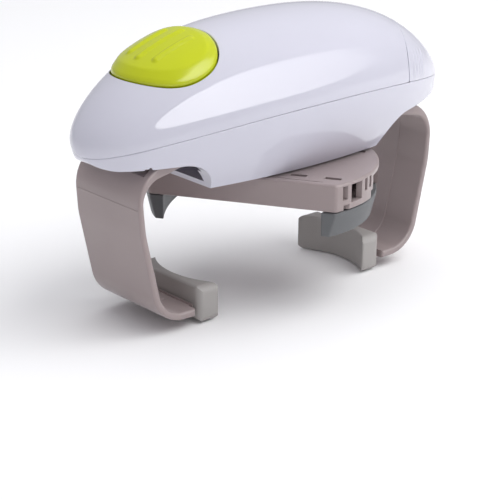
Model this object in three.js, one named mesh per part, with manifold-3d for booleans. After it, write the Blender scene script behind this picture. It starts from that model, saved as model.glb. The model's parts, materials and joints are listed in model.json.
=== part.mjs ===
// Electric jar opener: a domed battery-driven housing, two sliding arms that hold the jar,
// and a turning bar below with two sliding jaws that hold the lid.
// Millimetres, +Z up. The origin is on the turning axis, level with the undersides of the arm pads.
// Everything is drawn in the seam frame, where z = 0 is the middle of the joint between the two
// housing shells, and the outermost group lifts it to its place.

import * as THREE from "three";
import { mergeVertices } from "three/addons/utils/BufferGeometryUtils.js";
import Module from "manifold-3d";

const wasm = await Module();
wasm.setup();

// ---------------------------------------------------------------- driving dimensions

const SEAM_HEIGHT = 81; // from the pad undersides up to the seam frame
const GAP = 0.3; // between pieces that touch
const WALL = 2.2; // moulded shells
const FAR = 120; // reach of a cutting tool past the object

// Housing: plan and cross-sections are superellipses, and the seam is a shallow arch.
const HALF_LENGTH = 90;
const HALF_WIDTH = 35.6;
const PLAN_POWER = 1.85;
const DOME_RISE = 28.4;
const DOME_POWER = 3.4;
const DOME_ROUND = 0.78;
const SECTION_POWER = 2.07;
const SEAM_TILT = 2.1;
const SEAM_ARCH = 10.4;
const END_SHARE = 0.9995;
const STATIONS = 22;
const DOME_STEPS = 10;

// Lower shell: it narrows to a flat-bottomed skirt over the turning bar.
const SKIRT_Z = -28.04;
const SKIRT_HALF_LENGTH = 42.23;
const SKIRT_SHRINK = 0.345;
const SKIRT_CURVE = 1.76;
const SKIRT_LEVELS = 4;
const SKIRT_FLOOR_TOP = -25.84;
const RIM_NOSE_Z = -15.9;
const RIM_TAIL_Z = -13.6;
const DECK_TOP = -12.3; // deck between the gears and the arms
const DECK_BOTTOM = -13.8;
const MOUTH = { from: 39, halfWidth: 17.5 }; // openings in the skirt's ends, over its floor

// Battery cover and start button, both seen in plan.
const COVER_PEAK_X = 64.5;
const COVER_DEPTH = 11.6;
const COVER_HALF_WIDTH = 26;
const BUTTON = { x: -45.7, front: 21.1, rear: 14.4, halfWidth: 21.8, proud: 2.3, cap: 2, skin: 1.7 };
const BUTTON_GAP = 0.35;

// Arms, in their own frame: u runs outwards from the axis, v across.
const ARM_HALF_WIDTH = 19.53;
const ARM_START_U = 51.5;
const ARM_TOP_Z = -14.45;
const ARM_UNDER_Z = -20.4;
const ARM_BOTTOM_Z = -76.9;
const ARM_LIP_Z = -73.9;
const ARM_NECK_HALF_WIDTH = 15;
const ARM_POCKET = { from: 60, y0: 9.5, y1: 16.8, floor: -19 }; // hollows in the strap's top
const ARM_RACK = { from: -11, to: 24, z0: -19.8, z1: -14.7, back: 14 };

// Pads on the arm tips.
const PAD = { back: 48.2, tip: 37.4, halfWidth: 19.5, hollow: 6.5, z0: -81, z1: -66 };

// Turning bar and lid jaws: u runs along the bar, v across.
const BAR_ANGLE = THREE.MathUtils.degToRad(-58);
const BAR = { radius: 45.5, halfWidth: 26.6, z0: -39.5, z1: -28.84, top: 2 };
const BAR_WINDOWS = [[22.6, 1.2, -35.4], [16.5, 3.2, -37], [10.3, 1.2, -34.8], [6.5, 1.1, -34.6]];
const BAR_RECESS = { v0: -3.5, v1: 13.8, back: 41.6, wall: 1.3 }; // over each jaw's link
const BAR_NOTCH = { v0: 20.6, v1: 23.4, z: -37.4 };
const JAW_RACK = { from: -8, to: 27.5, z0: -36.5, z1: -33, back: 13.3 };
const JAW_PAD = { halfWidth: 26, inner: 35, innerEdge: 31, outer: 43.6, z0: -49.5, z1: -40 };
const JAW_SLOT = { v0: -5.6, v1: 13.4, from: 11.7 };
const JAW_LINK = { u0: 30, u1: 39.5, v0: -5.2, v1: 13, z0: -41.6 };
const JAW_BLADE = { u0: 36.6, u1: 38.6, halfWidth: 15, z0: -47, z1: -41.4 };

// Gears: involute teeth, all with the same module.
const MODULE_MM = 1;
const PRESSURE = THREE.MathUtils.degToRad(20);
const ADDENDUM = 0.8;
const DEDENDUM = 1.2;
const FLANK_RELIEF = 0.08;
const ARM_PINION_TEETH = 16;
const LID_PINION_TEETH = 14;
const DRIVE_TEETH = 30;
const WHEEL_TEETH = 24;
const SMALL_TEETH = 10;
const LAYER = { low: -10.9, a: -7.9, b0: -7.3, b: -4.9, c0: -4.3, c: -1.9 };
const SPINDLE = { radius: 5, bore: 3, top: -6.2 };
const AXIS = [0, 0];
const SECOND_AXLE = stepFrom(AXIS, (MODULE_MM * (DRIVE_TEETH + SMALL_TEETH)) / 2, 157.7);
const FIRST_AXLE = stepFrom(SECOND_AXLE, (MODULE_MM * (WHEEL_TEETH + SMALL_TEETH)) / 2, -79.8);
const MOTOR_AXIS = stepFrom(FIRST_AXLE, (MODULE_MM * (WHEEL_TEETH + SMALL_TEETH)) / 2, 30.5);
const MOTOR = { radius: 11, z0: 0.7, z1: 19.7 };
const PLATE = { z0: -1.2, z1: 0.4 };
const PLATE_POSTS = [[-32, -19], [-32, 19], [12.5, 19], [12.5, -19]];

// Cells lie side by side along x.
const CELL = { radius: 7.2, x0: 22.4, length: 49.3, nub: 1.2, y: 7.7, z: -1.75 };

// Housing screws come up through the deck.
const HOUSING_SCREWS = [[-75, -7.5], [-75, 7.5], [46.5, -20.5], [46.5, 20.5]];

// Switch under the button.
const SWITCH = { x: -46, halfLength: 6, halfWidth: 3, z0: -5.7, z1: 3 };
const SPRING = { radius: 3.9, wire: 0.45, z0: 4.95, z1: 11, turns: 4 };

// The point at a distance from another, in a direction given in degrees.
function stepFrom([x, y], distance, degrees) {
  const angle = THREE.MathUtils.degToRad(degrees);
  return [x + distance * Math.cos(angle), y + distance * Math.sin(angle)];
}

// ---------------------------------------------------------------- materials

function plastic(color, roughness) {
  return new THREE.MeshStandardMaterial({ color, roughness, metalness: 0 });
}

function metal(color, roughness) {
  return new THREE.MeshStandardMaterial({ color, roughness, metalness: 1 });
}

const shellWhite = plastic(0xdcdce6, 0.22);
const buttonGreen = plastic(0xb5c81c, 0.35);
const armTaupe = plastic(0xa89c98, 0.45);
const padGrey = plastic(0x8e908f, 0.6);
const gearWhite = plastic(0xe9e6da, 0.5);
const switchBlack = plastic(0x202022, 0.5);
const boardGreen = plastic(0x1f5a36, 0.55);
const cellJacket = plastic(0x3c4a63, 0.35);
const leadRed = plastic(0xa3231d, 0.5);
const leadBlack = plastic(0x1b1b1d, 0.5);
const leadBlue = plastic(0x27417f, 0.5);
const steel = metal(0xb9bbbe, 0.35);
const brass = metal(0xb99b55, 0.35);

// ---------------------------------------------------------------- solids

// A closed three.js geometry as a solid; triangles that merging has collapsed are dropped.
function solidOf(geometry) {
  const bare = new THREE.BufferGeometry();
  bare.setAttribute("position", geometry.getAttribute("position").clone());
  if (geometry.index) bare.setIndex(geometry.index.clone());
  const merged = mergeVertices(bare, 1e-4);
  const index = merged.index.array;
  const kept = [];
  for (let i = 0; i < index.length; i += 3) {
    const [a, b, c] = [index[i], index[i + 1], index[i + 2]];
    if (a !== b && b !== c && c !== a) kept.push(a, b, c);
  }
  const vertProperties = new Float32Array(merged.attributes.position.array);
  const triVerts = new Uint32Array(kept);
  return new wasm.Manifold(new wasm.Mesh({ numProp: 3, vertProperties, triVerts }));
}

function geometryOf(solid) {
  const mesh = solid.getMesh();
  const geometry = new THREE.BufferGeometry();
  geometry.setAttribute("position", new THREE.BufferAttribute(mesh.vertProperties, 3));
  geometry.setIndex(new THREE.BufferAttribute(mesh.triVerts, 1));
  geometry.computeVertexNormals();
  return geometry;
}

function join(...solids) {
  return solids.reduce((whole, next) => whole.add(next));
}

function cut(solid, ...tools) {
  return tools.reduce((rest, tool) => rest.subtract(tool), solid);
}

function box(x0, x1, y0, y1, z0, z1) {
  const geometry = new THREE.BoxGeometry(x1 - x0, y1 - y0, z1 - z0);
  geometry.translate((x0 + x1) / 2, (y0 + y1) / 2, (z0 + z1) / 2);
  return solidOf(geometry);
}

function rod(radius, z0, z1, x = 0, y = 0, sides = 16) {
  const geometry = new THREE.CylinderGeometry(radius, radius, z1 - z0, sides);
  geometry.rotateX(Math.PI / 2);
  geometry.translate(x, y, (z0 + z1) / 2);
  return solidOf(geometry);
}

// A plan outline raised from z0 to z1.
function slab(outline, z0, z1, curveSegments = 8) {
  const shape = outline instanceof THREE.Shape ? outline : new THREE.Shape(outline);
  const geometry = new THREE.ExtrudeGeometry(shape, {
    depth: z1 - z0,
    bevelEnabled: false,
    curveSegments,
  });
  geometry.translate(0, 0, z0);
  return solidOf(geometry);
}

// A side outline, in x and z, carried across y.
function curtain(outline, y0, y1) {
  const shape = outline instanceof THREE.Shape ? outline : new THREE.Shape(outline);
  const geometry = new THREE.ExtrudeGeometry(shape, {
    depth: y1 - y0,
    bevelEnabled: false,
    curveSegments: 8,
  });
  geometry.rotateX(Math.PI / 2);
  geometry.translate(0, y1, 0);
  return solidOf(geometry);
}

// The surface swept about z by [radius, z] pairs that close on themselves.
function turned(profile, sides = 20) {
  const points = profile.map(([r, z]) => new THREE.Vector2(r, z));
  const geometry = new THREE.LatheGeometry(points, sides);
  geometry.rotateX(Math.PI / 2);
  return geometry;
}

function tube(points, radius, steps, sides) {
  const curve = new THREE.CatmullRomCurve3(points.map((p) => new THREE.Vector3(...p)));
  const circle = new THREE.Shape();
  circle.absarc(0, 0, radius, 0, 2 * Math.PI);
  const geometry = new THREE.ExtrudeGeometry(circle, {
    steps,
    curveSegments: sides,
    bevelEnabled: false,
    extrudePath: curve,
  });
  return solidOf(geometry);
}

// An outline whose corners [x, y, radius] are rounded by arcs.
function rounded(corners, steps = 5) {
  const points = [];
  corners.forEach(([x, y, radius], i) => {
    const corner = new THREE.Vector2(x, y);
    if (!radius) {
      points.push(corner);
      return;
    }
    const before = corners[(i + corners.length - 1) % corners.length];
    const after = corners[(i + 1) % corners.length];
    const toBefore = new THREE.Vector2(before[0] - x, before[1] - y).normalize();
    const toAfter = new THREE.Vector2(after[0] - x, after[1] - y).normalize();
    const half = Math.acos(toBefore.dot(toAfter)) / 2;
    const middle = toBefore.clone().add(toAfter).normalize();
    const centre = corner.clone().addScaledVector(middle, radius / Math.sin(half));
    const reach = radius / Math.tan(half);
    const first = corner.clone().addScaledVector(toBefore, reach).sub(centre);
    const last = corner.clone().addScaledVector(toAfter, reach).sub(centre);
    const turn = Math.atan2(first.cross(last), first.dot(last));
    for (let k = 0; k <= steps; k++) {
      const spoke = first.clone().rotateAround(new THREE.Vector2(), (turn * k) / steps);
      points.push(spoke.add(centre));
    }
  });
  return points;
}

// Cross-sections with the same number of points, joined along x and capped at both ends.
function loft(sections) {
  const size = sections[0].length;
  const positions = sections.flat().flatMap((p) => [p.x, p.y, p.z]);
  const index = [];
  for (let i = 0; i + 1 < sections.length; i++) {
    for (let j = 0; j < size; j++) {
      const a = i * size + j;
      const b = i * size + ((j + 1) % size);
      index.push(a, b, b + size, a, b + size, a + size);
    }
  }
  const last = (sections.length - 1) * size;
  for (let j = 1; j + 1 < size; j++) {
    index.push(0, j + 1, j);
    index.push(last, last + j, last + j + 1);
  }
  const geometry = new THREE.BufferGeometry();
  geometry.setAttribute("position", new THREE.Float32BufferAttribute(positions, 3));
  geometry.setIndex(index);
  return solidOf(geometry);
}

// ---------------------------------------------------------------- housing surfaces

function planHalfWidth(x, inset) {
  const share = Math.min(Math.abs(x) / (HALF_LENGTH - inset), 1);
  return (HALF_WIDTH - inset) * (1 - share ** PLAN_POWER) ** (1 / PLAN_POWER);
}

function seamZ(x) {
  const share = x / HALF_LENGTH;
  return SEAM_TILT * share - SEAM_ARCH * share * share;
}

function domeRise(x, inset) {
  const share = Math.min(Math.abs(x) / (HALF_LENGTH - inset), 1);
  return (DOME_RISE - inset) * (1 - share ** DOME_POWER) ** DOME_ROUND;
}

// Stations crowd towards both ends, where the plan turns fastest.
function stationList(inset) {
  const reach = (HALF_LENGTH - inset) * END_SHARE;
  const list = [];
  for (let i = 0; i <= STATIONS; i++) list.push(-reach * Math.cos((Math.PI * i) / STATIONS));
  return list;
}

// The dome above the seam, set in by inset, with a plain wall of height drop below the seam.
function dome(inset, drop = 0) {
  const sections = stationList(inset).map((x) => {
    const half = planHalfWidth(x, inset);
    const rise = domeRise(x, inset);
    const base = seamZ(x);
    const loop = [];
    for (let j = 0; j <= DOME_STEPS; j++) {
      const angle = (Math.PI * j) / DOME_STEPS;
      const across = Math.abs(Math.cos(angle)) ** (2 / SECTION_POWER);
      const up = Math.abs(Math.sin(angle)) ** (2 / SECTION_POWER);
      loop.push(new THREE.Vector3(x, half * Math.sign(Math.cos(angle)) * across, base + rise * up));
    }
    if (drop) {
      loop.push(new THREE.Vector3(x, -half, base - drop));
      loop.push(new THREE.Vector3(x, half, base - drop));
    }
    return loop;
  });
  return loft(sections);
}

// The flank below the seam, from raise above it down to the skirt's level.
function flank(inset, raise = 0) {
  const sections = stationList(inset).map((x) => {
    const half = planHalfWidth(x, inset);
    const base = seamZ(x) - GAP;
    const right = [];
    for (let k = 0; k <= SKIRT_LEVELS; k++) {
      const share = k / SKIRT_LEVELS;
      const shrink = 1 - SKIRT_SHRINK * share ** SKIRT_CURVE;
      right.push(new THREE.Vector3(x, half * shrink, base + (SKIRT_Z - base) * share));
    }
    const left = right.map((p) => new THREE.Vector3(x, -p.y, p.z));
    const loop = [...left, ...right.reverse()];
    if (raise) {
      loop.push(new THREE.Vector3(x, half, base + raise));
      loop.push(new THREE.Vector3(x, -half, base + raise));
    }
    return loop;
  });
  return loft(sections);
}

// Side outline of the lower shell: a shallow rim at nose and tail, arched down to the skirt.
function lowerSideOutline() {
  const outline = new THREE.Shape();
  outline.moveTo(-FAR, 10);
  outline.lineTo(-FAR, -11);
  outline.lineTo(-HALF_LENGTH, -11);
  outline.quadraticCurveTo(-87.5, -15.6, -79, RIM_NOSE_Z);
  outline.lineTo(-57, RIM_NOSE_Z);
  outline.quadraticCurveTo(-46.5, -16.5, -SKIRT_HALF_LENGTH, SKIRT_Z);
  outline.lineTo(SKIRT_HALF_LENGTH, SKIRT_Z);
  outline.quadraticCurveTo(45.5, -15.9, 55, -15.2);
  outline.lineTo(76, RIM_TAIL_Z);
  outline.quadraticCurveTo(86, -12.4, HALF_LENGTH, -8.6);
  outline.lineTo(FAR, -8.6);
  outline.lineTo(FAR, 10);
  return outline;
}

// ---------------------------------------------------------------- housing pieces

function coverOutline(offset) {
  const points = [];
  const steps = 12;
  for (let i = 0; i <= steps; i++) {
    const y = -COVER_HALF_WIDTH + (2 * COVER_HALF_WIDTH * i) / steps;
    const x = COVER_PEAK_X - COVER_DEPTH * (Math.abs(y) / COVER_HALF_WIDTH) ** 1.2;
    points.push(new THREE.Vector2(x + offset, y));
  }
  const edge = COVER_PEAK_X - COVER_DEPTH + offset;
  points.push(new THREE.Vector2(edge, FAR));
  points.push(new THREE.Vector2(FAR, FAR));
  points.push(new THREE.Vector2(FAR, -FAR));
  points.push(new THREE.Vector2(edge, -FAR));
  return points;
}

// The button's egg outline: a rounder rear and a longer front.
function buttonOutline(offset) {
  const points = [];
  const steps = 30;
  for (let i = 0; i < steps; i++) {
    const angle = (2 * Math.PI * i) / steps;
    const c = Math.cos(angle);
    const s = Math.sin(angle);
    const reach = (c > 0 ? BUTTON.rear : BUTTON.front) + offset;
    const power = c > 0 ? 2 / 2.3 : 1;
    const x = BUTTON.x + reach * Math.sign(c) * Math.abs(c) ** power;
    const y = (BUTTON.halfWidth + offset) * Math.sign(s) * Math.abs(s) ** power;
    points.push(new THREE.Vector2(x, y));
  }
  return points;
}

function upperShell() {
  return cut(dome(0), dome(WALL, 1));
}

function upperHousing() {
  let solid = cut(upperShell(), slab(coverOutline(-GAP), -40, 60));
  solid = cut(solid, slab(buttonOutline(0), -40, 60));
  const inside = dome(0.6);
  HOUSING_SCREWS.forEach(([x, y]) => {
    const boss = rod(3, seamZ(x) + GAP, 40, x, y, 12).intersect(inside);
    solid = cut(join(solid, boss), rod(1.15, -20, seamZ(x) + 7, x, y, 8));
  });
  return solid;
}

function batteryCover() {
  return upperShell().intersect(slab(coverOutline(0), -40, 60));
}

function lowerHousing() {
  const inner = flank(WALL, 2);
  const aboveDeck = inner.intersect(box(-FAR, FAR, -FAR, FAR, DECK_TOP, 20));
  const skirtRoom = curtain(
    [[-40.2, SKIRT_FLOOR_TOP], [40.2, SKIRT_FLOOR_TOP], [42.2, -22.5], [45, -19], [45, DECK_BOTTOM],
     [-45, DECK_BOTTOM], [-45, -19], [-42.2, -22.5]].map(([x, z]) => new THREE.Vector2(x, z)),
    -FAR,
    FAR,
  );
  const inSkirt = flank(WALL).intersect(skirtRoom);
  const underEnds = [-1, 1].map((side) => {
    const reach = side < 0 ? box(-FAR, -49, -FAR, FAR, -30, DECK_BOTTOM)
      : box(49, FAR, -FAR, FAR, -30, DECK_BOTTOM);
    return flank(WALL).intersect(reach);
  });
  const armWindow = box(-70, 70, -20.1, 20.1, -20.9, DECK_BOTTOM);
  const mouths = [-1, 1].map((side) => {
    const [x0, x1] = [MOUTH.from * side, 60 * side].sort((a, b) => a - b);
    return box(x0, x1, -MOUTH.halfWidth, MOUTH.halfWidth, SKIRT_FLOOR_TOP, DECK_BOTTOM);
  });
  let solid = flank(0).intersect(curtain(lowerSideOutline(), -FAR, FAR));
  solid = cut(solid, aboveDeck, inSkirt, ...underEnds, armWindow, ...mouths);
  solid = cut(solid, rod(7.3, -30, -20, 0, 0, 24), rod(5.6, -15, -10, 0, 0, 24));
  PLATE_POSTS.forEach(([x, y]) => {
    solid = cut(join(solid, rod(3, -12.6, PLATE.z0 - GAP, x, y, 12)), rod(1.15, -10, 0, x, y, 8));
  });
  [FIRST_AXLE, SECOND_AXLE].forEach(([x, y]) => {
    solid = cut(join(solid, rod(2.8, -12.6, -11.3, x, y, 12)), rod(1.5, -12.2, -11, x, y, 10));
  });
  HOUSING_SCREWS.forEach(([x, y]) => {
    solid = join(solid, rod(3.9, DECK_BOTTOM, seamZ(x) - GAP, x, y, 12).intersect(flank(0.8)));
    solid = cut(solid, rod(1.6, -20, 10, x, y, 8), rod(3, -20, -11.4, x, y, 12));
  });
  const bulkhead = box(18.6, 19.9, -14.5, 14.5, -12.6, 3);
  const cradles = [28, 62].map((x) => box(x, x + 2, -13.5, 13.5, -12.6, -9.3));
  const bridgeRib = box(74.4, 75.6, -9, 9, -12.6, 0);
  return join(solid, bulkhead, ...cradles, bridgeRib);
}

// ---------------------------------------------------------------- button and switch

function startButton() {
  const wallDepth = WALL + 1.7;
  const cap = dome(-BUTTON.proud).intersect(slab(buttonOutline(-BUTTON_GAP), -40, 60));
  const hollow = dome(BUTTON.cap - BUTTON.proud).intersect(
    slab(buttonOutline(-BUTTON_GAP - BUTTON.skin), -40, 60),
  );
  const lip = cut(
    dome(WALL + 0.5).intersect(slab(buttonOutline(1), -40, 60)),
    slab(buttonOutline(-BUTTON_GAP - BUTTON.skin), -40, 60),
  );
  const post = rod(5, 11.7, 40, SWITCH.x, 0).intersect(dome(0.6 - BUTTON.proud));
  const stem = join(post, rod(2, 5.3, 12, SWITCH.x, 0, 12));
  return join(cut(join(cut(cap, hollow), lip), dome(wallDepth, 3)), stem);
}

function buttonSpring() {
  const points = [];
  const steps = SPRING.turns * 8;
  const height = SPRING.z1 - SPRING.z0;
  for (let i = 0; i <= steps; i++) {
    const angle = (2 * Math.PI * SPRING.turns * i) / steps;
    points.push([
      SWITCH.x + SPRING.radius * Math.cos(angle),
      SPRING.radius * Math.sin(angle),
      SPRING.z0 + (height * i) / steps,
    ]);
  }
  return tube(points, SPRING.wire, steps, 2);
}

function switchBody() {
  const { x, halfLength, halfWidth, z0, z1 } = SWITCH;
  const body = box(x - halfLength, x + halfLength, -halfWidth, halfWidth, z0, z1);
  return cut(body, rod(1.7, -2.2, z1 + 1, x, 0, 12));
}

function switchBracket() {
  const { x, halfLength } = SWITCH;
  const plate = box(x - halfLength, x + halfLength, -6.4, 6.4, 3.3, 4.4);
  const legs = [-6.4, 5.2].map((y) => box(x - 4, x + 4, y, y + 1.2, -5.7, 3.4));
  return cut(join(plate, ...legs), rod(2.5, 0, 6, x, 0, 12));
}

// ---------------------------------------------------------------- gears

function involute(angle) {
  return Math.tan(angle) - angle;
}

// Half the angle that a tooth takes up at a radius; below the base circle it is thinned a little.
function toothHalfAngle(radius, teeth) {
  const pitch = (teeth * MODULE_MM) / 2;
  const base = pitch * Math.cos(PRESSURE);
  const atPitch = Math.PI / (2 * teeth) - FLANK_RELIEF / pitch;
  const rollBack = radius > base ? involute(Math.acos(base / radius)) : radius < base ? 0.03 : 0;
  return atPitch + involute(PRESSURE) - rollBack;
}

function gearShape(teeth, phase, bore) {
  const pitch = (teeth * MODULE_MM) / 2;
  const root = pitch - DEDENDUM * MODULE_MM;
  const tip = pitch + ADDENDUM * MODULE_MM;
  const radii = [root, pitch, tip];
  const points = [];
  for (let k = 0; k < teeth; k++) {
    const centre = phase + (2 * Math.PI * k) / teeth;
    const rising = radii.map((r) => [r, centre - toothHalfAngle(r, teeth)]);
    const falling = radii.map((r) => [r, centre + toothHalfAngle(r, teeth)]).reverse();
    [...rising, ...falling].forEach(([r, a]) => {
      points.push(new THREE.Vector2(r * Math.cos(a), r * Math.sin(a)));
    });
  }
  const shape = new THREE.Shape(points);
  if (bore) shape.holes.push(new THREE.Path().absarc(0, 0, bore, 0, 2 * Math.PI, true));
  return shape;
}

// The phase that puts a gear in mesh with its neighbour, which lies in the direction given.
function meshedPhase(neighbourTeeth, neighbourPhase, direction, teeth) {
  const past = ((direction - neighbourPhase) * neighbourTeeth) / (2 * Math.PI);
  return direction + Math.PI - ((0.5 - past) * 2 * Math.PI) / teeth;
}

function directionOf(from, to) {
  return Math.atan2(to[1] - from[1], to[0] - from[0]);
}

const DRIVE_PHASE = 0;
const SECOND_SMALL_PHASE = meshedPhase(
  DRIVE_TEETH,
  DRIVE_PHASE,
  directionOf(AXIS, SECOND_AXLE),
  SMALL_TEETH,
);
const SECOND_WHEEL_PHASE = 0;
const FIRST_SMALL_PHASE = meshedPhase(
  WHEEL_TEETH,
  SECOND_WHEEL_PHASE,
  directionOf(SECOND_AXLE, FIRST_AXLE),
  SMALL_TEETH,
);
const FIRST_WHEEL_PHASE = 0;
const MOTOR_PHASE = meshedPhase(
  WHEEL_TEETH,
  FIRST_WHEEL_PHASE,
  directionOf(FIRST_AXLE, MOTOR_AXIS),
  SMALL_TEETH,
);

function driveGear() {
  return slab(gearShape(DRIVE_TEETH, DRIVE_PHASE, SPINDLE.radius + 0.2), LAYER.low, LAYER.a);
}

// A wheel over a small gear, with a bore for its axle.
function compoundGear(smallPhase, wheelPhase, z0, z1, z2) {
  const small = slab(gearShape(SMALL_TEETH, smallPhase, 1.5), z0, z1 + 0.1);
  return join(small, slab(gearShape(WHEEL_TEETH, wheelPhase, 1.5), z1, z2));
}

function motorPinion() {
  const teeth = slab(gearShape(SMALL_TEETH, MOTOR_PHASE), LAYER.c0, LAYER.c);
  return join(teeth, rod(1, LAYER.c - 0.1, MOTOR.z0 + 3, 0, 0, 10));
}

function armPinion() {
  const z0 = ARM_RACK.z0 + 0.1;
  return slab(gearShape(ARM_PINION_TEETH, 0, SPINDLE.radius + 0.4), z0, ARM_RACK.z1);
}

function lidPinion() {
  const teeth = slab(gearShape(LID_PINION_TEETH, 0), JAW_RACK.z0 + 0.2, JAW_RACK.z1 - 0.1);
  const shaft = rod(SPINDLE.bore - 0.4, JAW_RACK.z1 - 0.2, -5.6, 0, 0, 14);
  return join(teeth, shaft, rod(2, -38.4, JAW_RACK.z0 + 0.3, 0, 0, 12));
}

// A straight rack seen in plan: teeth point towards -v, with a tooth or a gap at u = 0.
function rackOutline(rack, pitchV, toothAtZero) {
  const pitch = Math.PI * MODULE_MM;
  const halfAtPitch = pitch / 4 - FLANK_RELIEF;
  const tipHalf = halfAtPitch - ADDENDUM * Math.tan(PRESSURE);
  const rootHalf = halfAtPitch + DEDENDUM * Math.tan(PRESSURE);
  const tipV = pitchV - ADDENDUM;
  const rootV = pitchV + DEDENDUM;
  const shift = toothAtZero ? 0 : pitch / 2;
  const first = Math.ceil((rack.from + rootHalf - shift) / pitch);
  const last = Math.floor((rack.to - rootHalf - shift) / pitch);
  const points = [new THREE.Vector2(rack.from, rootV)];
  for (let k = first; k <= last; k++) {
    const centre = shift + k * pitch;
    points.push(new THREE.Vector2(centre - rootHalf, rootV));
    points.push(new THREE.Vector2(centre - tipHalf, tipV));
    points.push(new THREE.Vector2(centre + tipHalf, tipV));
    points.push(new THREE.Vector2(centre + rootHalf, rootV));
  }
  points.push(new THREE.Vector2(rack.to, rootV));
  points.push(new THREE.Vector2(rack.to, rack.back));
  points.push(new THREE.Vector2(rack.from, rack.back));
  return points;
}

// ---------------------------------------------------------------- arms

// One arm: a C-shaped strap, a toothed tongue that reaches past the pinion, and an upright for the pad.
function arm() {
  const side = rounded([
    [ARM_START_U, ARM_TOP_Z, 0],
    [ARM_START_U, ARM_UNDER_Z, 0],
    [72.6, ARM_UNDER_Z, 9.5],
    [71.1, -39.9, 32],
    [63.2, ARM_LIP_Z, 11.5],
    [48.6, ARM_LIP_Z, 0],
    [48.6, ARM_BOTTOM_Z, 0],
    [65.5, ARM_BOTTOM_Z, 14.6],
    [73.7, -39.9, 35],
    [75.4, ARM_TOP_Z, 15],
  ]);
  const strap = curtain(side, -ARM_HALF_WIDTH, ARM_HALF_WIDTH);
  const pitchV = (ARM_PINION_TEETH * MODULE_MM) / 2;
  const rack = slab(rackOutline(ARM_RACK, pitchV, false), ARM_RACK.z0, ARM_RACK.z1);
  const tongueRoot = pitchV + DEDENDUM;
  const tongue = box(ARM_RACK.to - 0.1, 52, tongueRoot, ARM_RACK.back, ARM_RACK.z0, ARM_RACK.z1);
  const neckWidth = ARM_NECK_HALF_WIDTH;
  const neck = box(45, 49, -neckWidth, neckWidth, ARM_BOTTOM_Z, ARM_LIP_Z);
  const upright = box(45, 47.2, -neckWidth, neckWidth, ARM_BOTTOM_Z, -69.5);
  const pockets = [-1, 1].map((end) => {
    const [y0, y1] = [ARM_POCKET.y0 * end, ARM_POCKET.y1 * end].sort((a, b) => a - b);
    return box(ARM_POCKET.from, 80, y0, y1, ARM_POCKET.floor, -10);
  });
  return join(cut(strap, ...pockets), rack, tongue, neck, upright);
}

// Rubber pad over the arm's upright, with a hollow grip face.
function armPad() {
  const { back, tip, halfWidth, hollow, z0, z1 } = PAD;
  const outline = new THREE.Shape();
  outline.moveTo(tip, -halfWidth);
  outline.lineTo(back - 3, -halfWidth);
  outline.absarc(back - 3, -halfWidth + 3, 3, -Math.PI / 2, 0);
  outline.absarc(back - 3, halfWidth - 3, 3, 0, Math.PI / 2);
  outline.lineTo(tip, halfWidth);
  const radius = (halfWidth ** 2 + hollow ** 2) / (2 * hollow);
  const spread = Math.asin(halfWidth / radius);
  outline.absarc(tip + hollow - radius, 0, radius, spread, -spread, true);
  const reach = ARM_NECK_HALF_WIDTH + GAP;
  const pocket = join(
    box(45 - GAP, 47.2 + GAP, -reach, reach, ARM_BOTTOM_Z - GAP, -69.5 + GAP),
    box(45 - GAP, 52, -reach, reach, ARM_BOTTOM_Z - GAP, ARM_LIP_Z + GAP),
  );
  return cut(slab(outline, z0, z1), pocket);
}

// ---------------------------------------------------------------- turning bar and lid jaws

function barOutline(inset) {
  const radius = BAR.radius - inset;
  const halfWidth = BAR.halfWidth - inset;
  const spread = Math.asin(halfWidth / radius);
  const outline = new THREE.Shape();
  outline.absarc(0, 0, radius, -spread, spread);
  outline.absarc(0, 0, radius, Math.PI - spread, Math.PI + spread);
  return outline;
}

// A box in one end of the bar; the other end has the same one turned half round.
function endBox(end, u0, u1, v0, v1, z0, z1) {
  const [fromU, toU] = [u0 * end, u1 * end].sort((a, b) => a - b);
  const [fromV, toV] = [v0 * end, v1 * end].sort((a, b) => a - b);
  return box(fromU, toU, fromV, toV, z0, z1);
}

// The bar's shell: a top plate with slots, side walls, and end walls with windows beside a recess.
function barShell() {
  let solid = cut(
    slab(barOutline(0), BAR.z0, BAR.z1),
    slab(barOutline(WALL), BAR.z0 - 1, BAR.z1 - BAR.top),
  );
  const ceiling = BAR.z1 - 1.2;
  const { v0, v1, back, wall } = BAR_RECESS;
  [1, -1].forEach((end) => {
    const reach = end > 0 ? [36, 50] : [-50, -36];
    BAR_WINDOWS.forEach(([v, half, low]) => {
      solid = cut(solid, endBox(end, 36, 50, -v - half, -v + half, low, ceiling));
    });
    solid = cut(solid, endBox(end, 36, 50, -BAR_NOTCH.v1, -BAR_NOTCH.v0, BAR.z0 - 1, BAR_NOTCH.z));
    solid = cut(solid, endBox(end, back, 50, v0, v1, BAR.z0 - 1, BAR.z1 - BAR.top));
    solid = join(
      solid,
      endBox(end, back - wall, back, v0 - wall, v1 + wall, -37, BAR.z1 - 1),
      endBox(end, back - wall, 44.6, v0 - wall, v0, -37, BAR.z1 - 1),
    );
    const [slotFrom, slotTo] = [JAW_SLOT.v0 * end, JAW_SLOT.v1 * end].sort((a, b) => a - b);
    solid = cut(solid, box(...reach, slotFrom, slotTo, BAR.z0 - 1, -36.3));
    [20.3, 33.6].forEach((u) => {
      [-18.7, 18.7].forEach((v) => {
        const middle = u * end;
        solid = cut(solid, box(middle - 3.2, middle + 3.2, v - 1.2, v + 1.2, -32, -28));
      });
    });
  });
  [-20, 20].forEach((v) => {
    const boss = rod(3, -37, BAR.z1 - 1, 0, v, 12);
    solid = cut(join(solid, boss), rod(1.15, -38, -32, 0, v, 8));
  });
  return cut(solid, rod(SPINDLE.radius + GAP, -32, -28, 0, 0, 24));
}

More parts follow.
